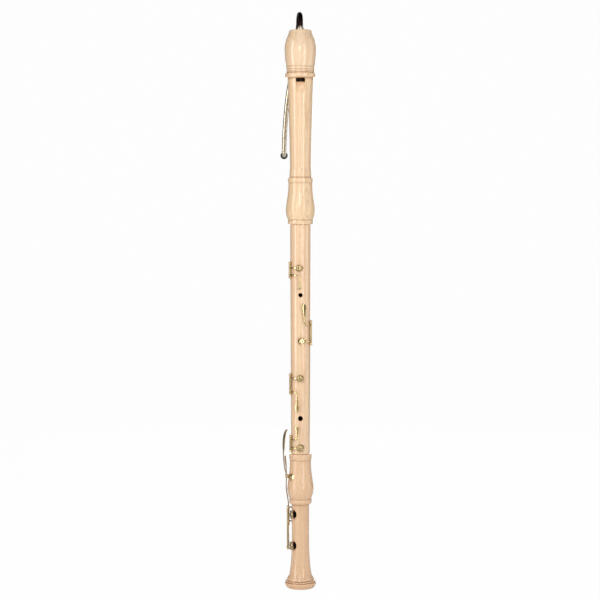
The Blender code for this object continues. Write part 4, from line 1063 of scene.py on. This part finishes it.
def make_corks():
    rings = (
        ("upper_cork", "centre", high_tenon_radius, centre_top, centre_top + high_tenon_length),
        ("lower_cork", "centre", low_tenon_radius, centre_base - low_tenon_length, centre_base),
        ("cap_cork", "head", head_tenon_radius, head_top, head_top + head_tenon_length),
    )
    for node, body, radius, near, far in rings:
        low, high = near + cork_margin + gap, far - cork_margin - gap
        outline = sleeve(radius + cork_proud, radius - cork_depth + gap, low, high, 0.0006)
        show(f"{node}_ring", revolve(dense(outline), cork_sides, loop=True), cork, body, node)
    inner, outer = ferrule_radius + gap, crook_cork_radius
    low, high = cap_top - cap_crown_thickness + 0.002, cap_top - 0.001
    ring = revolve([(outer, high), (outer, low), (inner, low), (inner, high)], fitting_sides, loop=True)
    show("crook_cork_ring", ring, cork, "cap", "crook_cork")


# Crook

def crook_route():
    arch_base = cap_top + crook_rise - 0.002
    low = cap_top - cap_crown_thickness + 0.003
    rise = [Vector((0, 0, mixed(low, arch_base, i / 8))) for i in range(9)]
    arch = []
    for i in range(1, 29):
        angle = math.pi * i / 28
        away = crook_arch_radius * (1 - math.cos(angle))
        height = arch_base + crook_arch_radius * math.sin(angle)
        arch.append(Vector((-away * math.sin(crook_arch_turn), away * math.cos(crook_arch_turn), height)))
    end = arch_base - crook_end_drop
    fall = smooth([
        arch[-1],
        *[(-left, back, arch_base - drop) for left, back, drop in crook_fall],
        (-crook_end_left, crook_end_back + crook_elbow * 1.6, end + crook_elbow),
        (-crook_end_left, crook_end_back + crook_end_run * 0.58, end),
        (-crook_end_left, crook_end_back + crook_end_run, end),
    ], 9)
    return rise + arch + fall[1:]


def make_crook():
    route = crook_route()
    pipe = tube(route, crook_base_radius, crook_radius, silver, sides=hub_sides)
    # The arch is painted near-black above the collar: a painted dark reflection
    darkest, clear = cap_top + 0.008, cap_top + 0.002
    with_painted_shade(pipe, [min(1.0, max(0.0, (point.co.z - clear) / (darkest - clear))) for point in pipe.vertices])
    show("silver_crook", pipe, silver, "crook", "crook_tube")
    bore, low, collar = crook_base_radius + gap, cap_top - cap_crown_thickness + 0.001, cap_top + gap
    lip = collar + ferrule_collar_height
    outer = curve([
        (ferrule_radius - 0.0002, lip + 0.0022), (ferrule_radius + 0.0002, lip + 0.0014),
        (ferrule_radius + 0.0004, lip + 0.0003), (ferrule_collar_radius - 0.0007, lip - 0.0002),
        (ferrule_collar_radius, collar + ferrule_collar_height * 0.55),
        (ferrule_collar_radius - 0.0003, collar + 0.0003), (ferrule_collar_radius - 0.0007, collar),
    ], 5)
    outline = [(bore, lip + 0.0022), *outer, (ferrule_radius, collar), (ferrule_radius, low), (bore, low)]
    show("crook_collar", revolve(outline, fitting_sides, loop=True), silver, "crook", "crook_ferrule")
    tip = revolve(mouthpiece_outline(), fitting_sides, loop=True)
    placed(tip, Matrix.Translation(route[-1]) @ Matrix.Rotation(-math.pi / 2, 4, "X"))
    show("black_mouthpiece", tip, resin, "crook", "mouthpiece")


def mouthpiece_outline():
    far, near = mouthpiece_length - mouthpiece_overlap, -mouthpiece_overlap
    outer = curve([
        (0.0032, far), (0.0042, far - 0.0003), (0.0050, far - 0.0014), (0.0060, far - 0.006), (0.0066, 0.002),
        (mouthpiece_radius - 0.0005, -0.001), (mouthpiece_radius, -0.0035),
        (mouthpiece_radius - 0.0003, near + 0.0008), (mouthpiece_radius - 0.0010, near),
    ], 4)
    socket = crook_radius + gap
    return [
        *outer, (socket + 0.0003, near), (socket, near + 0.0003), (socket, gap), (crook_bore, gap),
        (crook_bore, far - 0.0004), (crook_bore + 0.0004, far),
    ]


# Keys

def key_cup(radius, frame_matrix):
    """A cup with a nipple, a shallow dish and a raised rim, hollow under its pad."""
    top, low, roof = cup_height, pad_inset + 0.0003, pad_thickness + 2 * gap
    # Painted shade and dark painted reflection round the nipple, in the groove inside the rim and down the
    # rim's outer edge
    upper = curve([
        # radius, height, share of painted shade and dark painted reflection
        (pole, top + 0.0022, 0.3), (0.0008, top + 0.0020, 0.4), (0.0012, top + 0.0014, 0.9),
        (0.0012, top + 0.0008, 1.0), (0.0017, top + 0.0002, 1.0), (0.0022, top, 0.1),
        (radius * 0.5, top, 0.0), (radius - 0.0030, top - 0.0003, 0.0), (radius - 0.0025, top - 0.0006, 0.9),
        (radius - 0.0020, top - 0.0004, 0.9), (radius - 0.0015, top + 0.0002, 0.1),
        (radius - 0.0010, top + 0.0003, 0.0), (radius - 0.0005, top + 0.0001, 0.1),
        (radius - 0.0001, top - 0.0006, 0.6), (radius, top - 0.0012, 0.9),
    ], 3)
    lower = [
        (radius, pad_inset + 0.0006), (radius - 0.0002, low), (radius - cup_wall, low),
        (radius - cup_wall, roof), (pole, roof),
    ]
    return placed(revolve([*upper, *lower]), frame_matrix)


def key_pad(radius, frame_matrix):
    rim = radius - cup_wall - gap
    low, high = gap, gap + pad_thickness
    outline = [
        (pole, high), (rim, high), (rim, low + 0.0006), (rim - 0.0002, low + 0.0002), (rim - 0.0006, low),
        (rim - 0.0024, low + 0.0001), (pole, low + 0.0001),
    ]
    return placed(revolve(outline), frame_matrix)


def curved_arm(stations, steps=5):
    """A bar through (azimuth, distance, height, half width, half thickness) stations."""
    stations = smooth(stations, steps)
    places = [around(*station[:3]) for station in stations]
    made = []
    for i, (azimuth, _, _, half_width, half_thickness) in enumerate(stations):
        along = (places[min(i + 1, len(places) - 1)] - places[max(i - 1, 0)]).normalized()
        across = around(azimuth, 1.0, 0.0).cross(along).normalized()
        through = along.cross(across).normalized()
        made.append((places[i], across * half_width, through * half_thickness))
    return loft(made)


def arm_start(hinge, distance, azimuth, height):
    """An arm's first station, just past its hinge tube."""
    return (hinge + math.copysign(arm_overrun, hinge - azimuth), distance, height, 0.0010, arm_half_thickness)


def cup_arm(hinge, distance, azimuth, arm_end, height):
    stations = [arm_start(hinge, distance, azimuth, height)]
    for share in (0.0, 0.3, 0.6, 0.85):
        out = mixed(distance, arm_end, share)
        stations.append((mixed(hinge, azimuth, share), out, height, arm_half_width, arm_half_thickness))
    stations.append((azimuth, arm_end - 0.0002, height, arm_half_width * 0.8, arm_half_thickness * 0.8))
    return curved_arm(stations)


def touch_arm(hinge, distance, arm_height, tip_height, azimuth, half_width, surface):
    """The arm that leaves the hinge tube, turns along the body and widens into the touch."""
    way = math.copysign(1.0, tip_height - arm_height)
    length = abs(tip_height - arm_height)
    out = surface + touch_standoff
    narrow, thin = arm_half_thickness, touch_half_thickness
    stations = [
        arm_start(hinge, distance, azimuth, arm_height),
        (hinge, distance, arm_height, arm_half_width, narrow),
        (mixed(hinge, azimuth, 0.35), mixed(distance, out, 0.4), arm_height, arm_half_width, narrow),
        (mixed(hinge, azimuth, 0.68), out, arm_height + way * 0.0006, touch_stem, narrow),
        (mixed(hinge, azimuth, 0.90), out, arm_height + way * 0.0035, touch_stem, narrow),
        (azimuth, out, arm_height + way * 0.0080, touch_stem, narrow),
    ]
    widening = (
        # share of the touch's length, share of its width, least half width, rise
        (0.38, 0.62, touch_stem, 0.0), (0.70, 1.0, touch_stem, 0.0), (0.84, 0.95, touch_stem, 0.0),
        (0.93, 0.74, 0.0, -0.0001), (0.98, 0.45, 0.0, -0.0001), (1.0, 0.22, 0.0, -0.0002),
    )
    for share, width, least, rise in widening:
        height = arm_height + way * mixed(0.008, length, share)
        stations.append((azimuth, out + rise, height, max(least, half_width * width), thin))
    return curved_arm(stations)


def tube_ends(low, high):
    side = rod_radius + gap
    reach = math.sqrt(ball_radius**2 - side**2) + gap
    return low + reach, high - reach


def collar_mesh():
    """The small turned ring that stands on a hinge tube."""
    angles = [math.pi * i / 8 for i in range(9)]
    outline = [(tube_radius + 0.0007 * math.sin(a) ** 0.8, 0.0006 * math.cos(a)) for a in angles]
    outline += [(tube_radius - 0.0003, -0.0006), (tube_radius - 0.0003, 0.0006)]
    return revolve(outline, pin_sides, loop=True)


def hinge_tube(azimuth, distance, low, high, collar_heights):
    wall = sleeve(tube_radius, rod_radius + gap, low, high)
    # Painted shade over the whole tube, darkest at its ends and inside, for dark lines between the collars
    outline = [(*point, share) for point, share in zip(wall, (0.9, 0.4, 0.4, 0.9, 1.0, 1.0))]
    barrel = revolve(outline, pin_sides, loop=True)
    placed(barrel, Matrix.Translation(around(azimuth, distance, 0.0)))
    places = [(around(azimuth, distance, height), (0, 0, 1), (0, 1, 0)) for height in collar_heights]
    return [barrel, row(places, collar_mesh(), brass)]


def hang_open(mesh, hinge_point, angle):
    turn = Matrix.Translation(hinge_point) @ Matrix.Rotation(angle, 4, "Z") @ Matrix.Translation(-hinge_point)
    return placed(mesh, turn)


def lug(azimuth, distance, height, side):
    """The lug under the hinge tube that bears on the spring."""
    rings = [
        (Vector((0, reach, 0)), Vector((half_width, 0, 0)), Vector((0, 0, half_height)))
        for reach, half_width, half_height in (
            (0.0012, 0.0007, 0.0013), (0.0026, 0.0006, 0.0011), (0.0034, 0.0004, 0.0008),
        )
    ]
    inward = around(azimuth, -1.0, 0.0)
    turn = math.atan2(inward.y, inward.x) - math.pi / 2 + side * math.radians(30)
    place = Matrix.Translation(around(azimuth, distance, height)) @ Matrix.Rotation(turn, 4, "Z")
    return placed(loft(rings, needle_sides), place)


def make_key(names, body, pad_node, hinge, distance, pillars, cup, arm_at, spread, arm, opening):
    """Show a key's brass and its pad, built closed and then hung open. Gives the middle of the hinge tube."""
    surface, radius, azimuth, cup_at = cup
    seat = seat_distance(surface, radius)
    cup_frame = outward(azimuth, seat, cup_at)
    low, high = tube_ends(*pillars)
    middle = (low + high) / 2
    collars = [low + collar_inset, high - collar_inset]
    collars += [height + step for height in (cup_at, arm_at) for step in (-spread, spread)]
    brasswork = joined([
        *hinge_tube(hinge, distance, low, high, [height for height in collars if low < height < high]),
        key_cup(radius, cup_frame),
        cup_arm(hinge, distance, azimuth, seat + cup_height + arm_half_thickness * 0.6, cup_at),
        arm,
        lug(hinge, distance, middle, math.copysign(1, hinge)),
    ])
    pieces = ((brasswork, brass, body), (key_pad(radius, cup_frame), leather, pad_node))
    for name, (mesh, material, node) in zip(names, pieces):
        hung = hang_open(mesh, around(hinge, distance, 0.0), math.copysign(opening, hinge))
        show(name, hung, material, body, node)
    return middle


def make_finger_key(entry):
    name, side, low, high, _, cup_at, cup_turn, arm_at, tip_at, touch_turn, half_width = entry
    base, hinge, place = centre_base, side * hinge_azimuth, joints[f"key_{name}_hinge"]["pos_m"]
    distance = math.hypot(place[0], place[1])
    touch = touch_arm(
        hinge, distance, base + arm_at, base + tip_at, math.radians(touch_turn), half_width,
        centre_radius(base + arm_at),
    )
    cup = (centre_radius(base + cup_at), cup_radius, math.radians(cup_turn), base + cup_at)
    middle = make_key(
        (f"finger_key_{name}", f"leather_pad_{name}"), f"key_{name}", f"pad_{name}", hinge, distance,
        (base + low, base + high), cup, base + arm_at, collar_spread, touch, key_opening,
    )
    rod = placed(hinge_rod(base + low, base + high), Matrix.Translation(around(hinge, distance, 0.0)))
    show(f"rod_{name}", rod, steel, "centre", f"hinge_rod_{name}")
    needle = needle_spring(hinge, distance, base + low, middle)
    show(f"needle_{name}", needle, steel, "centre", f"spring_{name}")


def hinge_rod(low, high):
    """A rod with a slotted head above the upper pillar, along Z at the origin."""
    reach, head = ball_radius + 0.0002, rod_radius + 0.0006
    top = high + reach + 0.0008
    outline = [
        (pole, top), (head - 0.0003, top - 0.0001), (head, top - 0.0004), (head, top - 0.0009),
        (rod_radius, top - 0.0009), (rod_radius, low - reach + 0.0004), (rod_radius - 0.0003, low - reach),
        (pole, low - reach),
    ]
    slot = block_shape((-slot_reach, -0.00025, top - 0.00045), (slot_reach, 0.00025, top + 0.001))
    return carved(revolve(outline, pin_sides), [slot])


def needle_spring(azimuth, distance, low, middle):
    inward = distance - tube_radius - 0.0009
    ends = [around(azimuth, inward, low + flange_radius + gap), around(azimuth, inward, middle + 0.0012)]
    route = [ends[0].lerp(ends[1], i / 4) for i in range(5)]
    return tube(route, spring_radius, spring_radius * 0.7, steel, sides=needle_sides)


def pillar_mesh(standoff, ball=ball_radius, flange=flange_radius, neck=neck_radius):
    """A turned post, with its origin in the middle of its ball."""
    start = math.asin(neck / ball)
    angles = [mixed(math.radians(88), -math.pi / 2 + start, i / 14) for i in range(15)]
    head = [(ball * math.cos(a), ball * math.sin(a)) for a in angles]
    foot = -standoff + gap
    meets = min(foot + 0.0013, head[-1][1] - 0.0001)
    # Painted shade under the ball, along the neck and at the foot against the wood
    waist = (neck * 0.92, mixed(head[-1][1], meets, 0.5), 0.7)
    stem = curve([(*head[-1], 0.9), waist, (neck, meets, 0.9)], 3)
    base = [
        (flange * 0.72, foot + 0.0010), (flange * 0.80, foot + 0.0008), (flange, foot + 0.0006, 0.5),
        (flange, foot, 1.0),
    ]
    return revolve([*head, *stem[1:], *base], pin_sides)


def make_pillars(foot_outline):
    places, nodes = [], []
    for name, side, low, high, *_ in finger_keys:
        place = joints[f"key_{name}_hinge"]["pos_m"]
        azimuth, distance = side * hinge_azimuth, math.hypot(place[0], place[1])
        for end, height in (("lower", low), ("upper", high)):
            ball = around(azimuth, distance, centre_base + height)
            places.append((ball, around(azimuth, 1.0, 0.0), (0, 0, 1)))
            nodes.append(f"pillar_{name}_{end}")
    show("finger_key_pillars", row(places, pillar_mesh(pillar_standoff), brass), brass, "centre", *nodes)
    places = [((-foot_hinge_distance, 0, height), (-1, 0, 0), (0, 0, 1)) for height in foot_posts]
    standoff = foot_hinge_distance - radius_at(foot_outline, foot_posts[1])
    posts = row(places, pillar_mesh(standoff), brass)
    show("foot_key_posts", posts, brass, "foot", "foot_post_top", "foot_post_middle", "foot_post_bottom")


def make_foot_key(label, low, high, cup_at, tail_at, tail_length, foot_outline):
    hinge, distance = foot_hinge_azimuth, foot_hinge_distance
    centre = around(hinge, distance, tail_at)
    away = Vector((-math.sin(foot_key_opening), math.cos(foot_key_opening), 0.0))
    thick = Vector((away.y, -away.x, 0.0)) * arm_half_thickness
    tall = Vector((0, 0, tail_half_height))
    shape = (
        # reach, share of the half height, share of the half thickness
        (-0.001, 1.0, 1.4), (0.002, 0.95, 1.1), (0.005, 0.88, 1.0), (tail_length - 0.001, 0.8, 1.0),
        (tail_length, 0.55, 0.6),
    )
    tail = loft([(centre + away * reach, tall * height, thick * width) for reach, height, width in shape])
    cup = (radius_at(foot_outline, cup_at), foot_cup_radius, foot_cup_azimuth, cup_at)
    middle = make_key(
        (f"{label}_key_brass", f"{label}_key_leather"), f"{label}_foot_key", f"{label}_foot_pad",
        hinge, distance, (low, high), cup, tail_at, foot_collar_spread, tail, foot_key_opening,
    )
    needle = needle_spring(hinge, distance, low, middle)
    show(f"{label}_key_needle", needle, steel, "foot", f"{label}_foot_spring")


def make_foot_keys(foot_outline):
    bottom, middle, top = foot_posts
    for label, *places in (
        ("upper", middle, top, upper_cup_height, upper_tail_height, upper_tail_length),
        ("lower", bottom, middle, lower_cup_height, lower_tail_height, lower_tail_length),
    ):
        make_foot_key(label, *places, foot_outline)
    rod = placed(hinge_rod(bottom, top), Matrix.Translation((-foot_hinge_distance, 0, 0)))
    show("foot_rod", rod, steel, "foot", "foot_hinge_rod")


# Little-finger levers

def along_axle(side):
    """A placement on the levers' axle, whose Z points along it."""
    return Matrix.Translation((-pivot_distance, side, pivot_height)) @ Matrix.Rotation(math.pi / 2, 4, "X")


def lever(name, side, upper, lower):
    half_length = lever_hub_length / 2
    wall = sleeve(lever_hub_radius, rod_radius + gap, -half_length, half_length)
    hub = revolve(wall, hub_sides, loop=True)
    placed(hub, along_axle(side))
    bars = [hub]
    for route in (upper, lower):
        stations = smooth(route, 6)
        made = []
        for i, (x, y, z, half_width, turn) in enumerate(stations):
            here, beyond = stations[max(i - 1, 0)], stations[min(i + 1, len(stations) - 1)]
            along = Vector((beyond - here)[:3]).normalized()
            across = Vector((-math.sin(turn), math.cos(turn), 0))
            through = along.cross(across).normalized()
            thickness = lever_half_thickness if half_width <= 2 * lever_half_width else touch_half_thickness
            made.append((Vector((x, y, z)), across * half_width, through * thickness))
        bars.append(loft(made))
    show(f"{name}_brass", joined(bars), brass, name, name)


def lever_tail(side, tip_side, tail_height, bends, landing):
    """The stations of a lever's lower bar. The bends are the sideways step at the bulge's foot, the two steps
    short of the tip's side, and the last bend's step outwards and its height under the bulge."""
    stem = lever_half_width
    tip = -(foot_hinge_distance - arm_half_thickness - gap - lever_half_thickness)
    bulge = -(foot_bulge_radius + 0.0026)
    foot = foot_bulge_height
    across, first_short, last_short, last_out, last_drop = bends
    return [
        # x, y, height, half width, turn
        (-pivot_distance, side, pivot_height, stem, 0.0),
        (bulge + 0.0002, side, pivot_height - 0.013, stem, 0.0),
        (bulge, side + 0.0010, foot, stem, 0.0),
        (bulge + 0.0018, side + across, foot - 0.014, stem, 0.0),
        (bulge + 0.0038, tip_side - first_short, foot - 0.027, stem, 0.0),
        (tip - last_out, tip_side - last_short, foot - last_drop, stem, 0.0),
        (tip, tip_side, tail_height + landing, stem, 0.0),
        (tip, tip_side, tail_height - 0.003, stem, 0.0),
        (tip, tip_side, tail_height - 0.0046, stem * 0.5, 0.0),
    ]


def make_levers():
    side = lever_hub_length / 2 + gap
    long_bends, short_bends = (0.0050, 0.0020, 0.0002, 0.0012, 0.041), (0.0052, 0.0032, 0.0004, 0.0010, 0.039)
    long_tail = lever_tail(side, lower_tip_side, lower_tail_height, long_bends, 0.016)
    short_tail = lever_tail(-side, upper_tip_side, upper_tail_height, short_bends, 0.003)
    for name, across, touch_route, tail in (
        ("long_lever", side, long_touch_route, long_tail),
        ("short_lever", -side, short_touch_route, short_tail),
    ):
        touch = [
            (-pivot_distance - out, across, pivot_height + above, half, math.radians(turn))
            for out, above, half, turn in touch_route
        ]
        lever(name, across, touch, tail)


def strap_ring(centre, across, through):
    corners = [(-1, 0), (1, 0), (1, 0.55), (0.96, 0.82), (0.88, 1), (-0.88, 1), (-0.96, 0.82), (-1, 0.55)]
    return [centre + across * u + through * v for u, v in corners]


def make_saddle(foot_outline):
    above = radius_at(foot_outline, pivot_height + saddle_half_width)
    below = radius_at(foot_outline, pivot_height - saddle_half_width)
    middle = max(radius_at(foot_outline, pivot_height), (above + below) / 2)
    half_turn = math.asin(saddle_half_width / middle)
    ends = [math.cos(math.pi / 2 * i / 10) for i in range(10)]
    turns = [(saddle_front + half_turn * s, math.sqrt(max(1 - s * s, 0.0025))) for s in ends]
    for i in range(41):
        share = i / 40
        waist = 1 - 0.38 * min(1.0, 6 * min(share, 1 - share)) ** 1.5
        turns.append((mixed(saddle_front, saddle_back, share), waist))
    turns += [(saddle_back - half_turn * s, math.sqrt(max(1 - s * s, 0.0025))) for s in reversed(ends)]
    rings = []
    for azimuth, width in turns:
        out = around(azimuth, 1.0, 0.0)
        along = (out * (above - below) + Vector((0, 0, 2 * saddle_half_width))).normalized()
        tangent = Vector((math.cos(azimuth), math.sin(azimuth), 0.0))
        normal = tangent.cross(along).normalized()
        centre = out * (middle + gap + 0.0003) + Vector((0, 0, pivot_height))
        rings.append(strap_ring(centre, along * saddle_half_width * width, normal * saddle_thickness))
    strap = skin(rings)
    foot = math.sqrt((middle + saddle_thickness / 2 + gap) ** 2 - ear_half_span**2)
    places = [
        ((-pivot_distance, side, pivot_height), (-1, 0, 0), (0, 0, 1))
        for side in (-ear_half_span, ear_half_span)
    ]
    ears = row(places, pillar_mesh(pivot_distance - foot + 0.0006, neck=0.0017, flange=0.0026), brass)
    show("saddle_brass", joined([strap, ears]), brass, "foot", "lever_saddle")
    out = middle + saddle_thickness + 0.0009
    screws = [
        (around(azimuth, out, pivot_height), around(azimuth, 1.0, 0.0), (0, 0.3, 1))
        for azimuth in (saddle_front, saddle_back)
    ]
    heads = row(screws, slotted_screw(), brass)
    show("saddle_screws", heads, brass, "foot", "saddle_screw_front", "saddle_screw_back")
    axle = placed(hinge_rod(-ear_half_span, ear_half_span), along_axle(0.0))
    show("lever_rod", axle, steel, "foot", "lever_axle")


def slotted_screw():
    """A raised slotted head, with its origin under the head."""
    head = screw_head_radius
    dome = curve([(pole, 0.0014), (head * 0.6, 0.0011), (head * 0.95, 0.0004), (head, 0.0)], 4)
    outline = [*dome, (0.0011, -0.0001), (0.0011, -0.003), (pole, -0.003)]
    slot = block_shape((-slot_reach, -0.0003, 0.0006), (slot_reach, 0.0003, 0.003))
    return carved(revolve(outline, hub_sides), [slot])


# Thumb side

def make_thumb_bush():
    surface = centre_radius(thumb_hole_height)
    inner, outer, top = thumb_hole_radius, thumb_hole_radius + bush_wall, surface - gap
    crown = [
        (mixed(outer, inner, i / 8), top - 0.0004 + 0.0004 * math.sin(math.pi * i / 8)) for i in range(9)
    ]
    outline = [*reversed(crown), (outer, top - 0.0062), (inner, top - 0.0062)]
    bush = placed(revolve(outline, fitting_sides, loop=True), outward(math.pi, 0.0, thumb_hole_height))
    show("thumb_bush_brass", bush, brass, "centre", "thumb_bush")


def make_thumb_rest():
    """A plate that hugs the back, bent out at its foot into a hook for the thumb."""
    base, top = rest_height, rest_height + rest_plate
    surface = centre_radius(top) + gap
    route = smooth([
        # distance, height, share of the width
        (surface, top, 0.45), (surface, top - 0.0016, 0.80), (surface, top - 0.0045, 0.98),
        (surface, base + rest_plate * 0.6, 1.0), (surface, base + 0.008, 0.96),
        (surface + 0.0035, base + 0.0015, 0.94), (surface + rest_reach * 0.6, base + 0.0005, 1.0),
        (surface + rest_reach * 0.9, base - 0.0022, 0.92), (surface + rest_reach, base - 0.0035, 0.70),
    ], 5)
    corners = [(-1 + 0.2 * i, 0) for i in range(11)]
    corners += [(1 - 0.2 * i, 1 - 0.3 * (i in (0, 10))) for i in range(11)]
    rings = []
    for i, (out, height, width) in enumerate(route):
        here, beyond = route[max(i - 1, 0)], route[min(i + 1, len(route) - 1)]
        along = Vector((0, beyond[0] - here[0], beyond[1] - here[1])).normalized()
        normal = Vector((1, 0, 0)).cross(along).normalized()
        normal = normal if normal.y > 0 else -normal
        ring = []
        for u, v in corners:
            place = Vector((rest_half_width * width * u, out, height)) + normal * rest_thickness * v
            share = max(0.0, 1.0 - (out - surface) / 0.012)
            place.y -= share * (surface - math.sqrt(surface**2 - place.x**2))
            ring.append(place)
        rings.append(ring)
    show("thumb_rest_brass", skin(rings), brass, "centre", "thumb_rest")
    screw_place = around(math.pi, surface + rest_thickness + gap, base + rest_plate * 0.55)
    screw = row([(screw_place, (0, 1, 0), (0.4, 0, 1))], slotted_screw(), brass)
    show("rest_screw", screw, brass, "centre", "thumb_rest_screw")


def make_sling():
    distance = centre_radius(sling_height) + sling_standoff
    post = pillar_mesh(sling_standoff, sling_ball_radius, 0.0055, 0.0017)
    placed(post, outward(math.pi, distance, sling_height))
    eye = revolve([(0.0023, 0.006), (0.0023, -0.006)], hub_sides)
    placed(eye, Matrix.Translation((0, distance, sling_height)) @ Matrix.Rotation(math.pi / 2, 4, "Y"))
    show("sling_post_brass", carved(post, [eye]), brass, "centre", "sling_post")
    low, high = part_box("sling_ring")
    middle = (low + high) / 2
    turns = [2 * math.pi * i / 48 for i in range(48)]
    circle = [middle + ring_radius * Vector((math.sin(a), 0, math.cos(a))) for a in turns]
    ring = tube(circle, ring_wire_radius, ring_wire_radius, brass, cyclic=True)
    show("sling_ring_brass", ring, brass, "sling_ring", "sling_ring")


# Stage

def make_stage():
    """A pale floor that curves up into a pale wall behind the instrument."""
    material, tree, shader, place = new_material("pale_paper", Roughness=0.9)
    cloud = noise(tree, scaled(tree, place, 3.0, 3.0))
    fill(tree, shader, Base_Color=blend_colours(tree, cloud, (0.93, 0.93, 0.93), (0.95, 0.95, 0.95)))
    seen = add(tree, "ShaderNodeLightPath").outputs["Is Camera Ray"]
    glow = add(tree, "ShaderNodeEmission", Color=(1, 1, 1, 1), Strength=1.0)
    share = math_of(tree, "MULTIPLY", seen, stage_glow)
    lit = add(tree, "ShaderNodeMixShader", n0=share, n1=shader.outputs["BSDF"], n2=glow.outputs["Emission"])
    fill(tree, tree.nodes["Material Output"], Surface=lit.outputs["Shader"])
    profile = [(paper_front, 0.0), (paper_back, 0.0)]
    for i in range(1, 17):
        angle = math.pi / 2 * i / 16
        profile.append((paper_back + paper_bend * math.sin(angle), paper_bend - paper_bend * math.cos(angle)))
    profile.append((paper_back + paper_bend, paper_height))
    mesh = bpy.data.meshes.new("paper")
    points = [(x, y, z) for y, z in profile for x in (-paper_side, paper_side)]
    faces = [(2 * i, 2 * i + 1, 2 * i + 3, 2 * i + 2) for i in range(len(profile) - 1)]
    mesh.from_pydata(points, [], faces)
    mesh.materials.append(material)
    mesh.shade_smooth()
    linked("paper", mesh)


def aimed(name, data, place, target):
    """A light or camera at a place, turned towards its target."""
    made = linked(name, data)
    made.location = place
    made.rotation_euler = (Vector(target) - Vector(place)).to_track_quat("-Z", "Y").to_euler()
    return made


def make_lights():
    for name, azimuth, distance, height, width, tall, watts, aim in lights:
        data = bpy.data.lights.new(name, "AREA")
        data.shape = "RECTANGLE"
        data.size, data.size_y, data.energy = width, tall, watts
        light = aimed(name, data, around(math.radians(azimuth), distance, height), (0, 0, aim))
        light.visible_camera = False
    world = bpy.data.worlds.new("studio")
    world.use_nodes = True
    tree = world.node_tree
    seen = add(tree, "ShaderNodeLightPath").outputs["Is Camera Ray"]
    strength = ranged(tree, seen, 0.0, 1.0, world_glow, 1.0)
    fill(tree, tree.nodes["Background"], Color=(1.0, 1.0, 1.0, 1.0), Strength=strength)
    bpy.context.scene.world = world


def make_camera():
    data = bpy.data.cameras.new("view")
    data.sensor_width = sensor_width
    data.lens = sensor_width * view_distance / view_width
    data.shift_y = frame_shift
    data.clip_end = 50.0
    place, target = (axis_shift, -view_distance, eye_height), (axis_shift, 0.0, aim_height)
    bpy.context.scene.camera = aimed("view", data, place, target)
    bpy.context.scene.view_settings.view_transform = "Standard"


make_camera()
make_stage()
make_lights()
foot_outline = make_foot_joint()
make_centre_joint()
make_head_joint()
make_block()
make_cap()
make_corks()
make_crook()
for key_entry in finger_keys:
    make_finger_key(key_entry)
make_pillars(foot_outline)
make_foot_keys(foot_outline)
make_levers()
make_saddle(foot_outline)
make_thumb_bush()
make_thumb_rest()
make_sling()
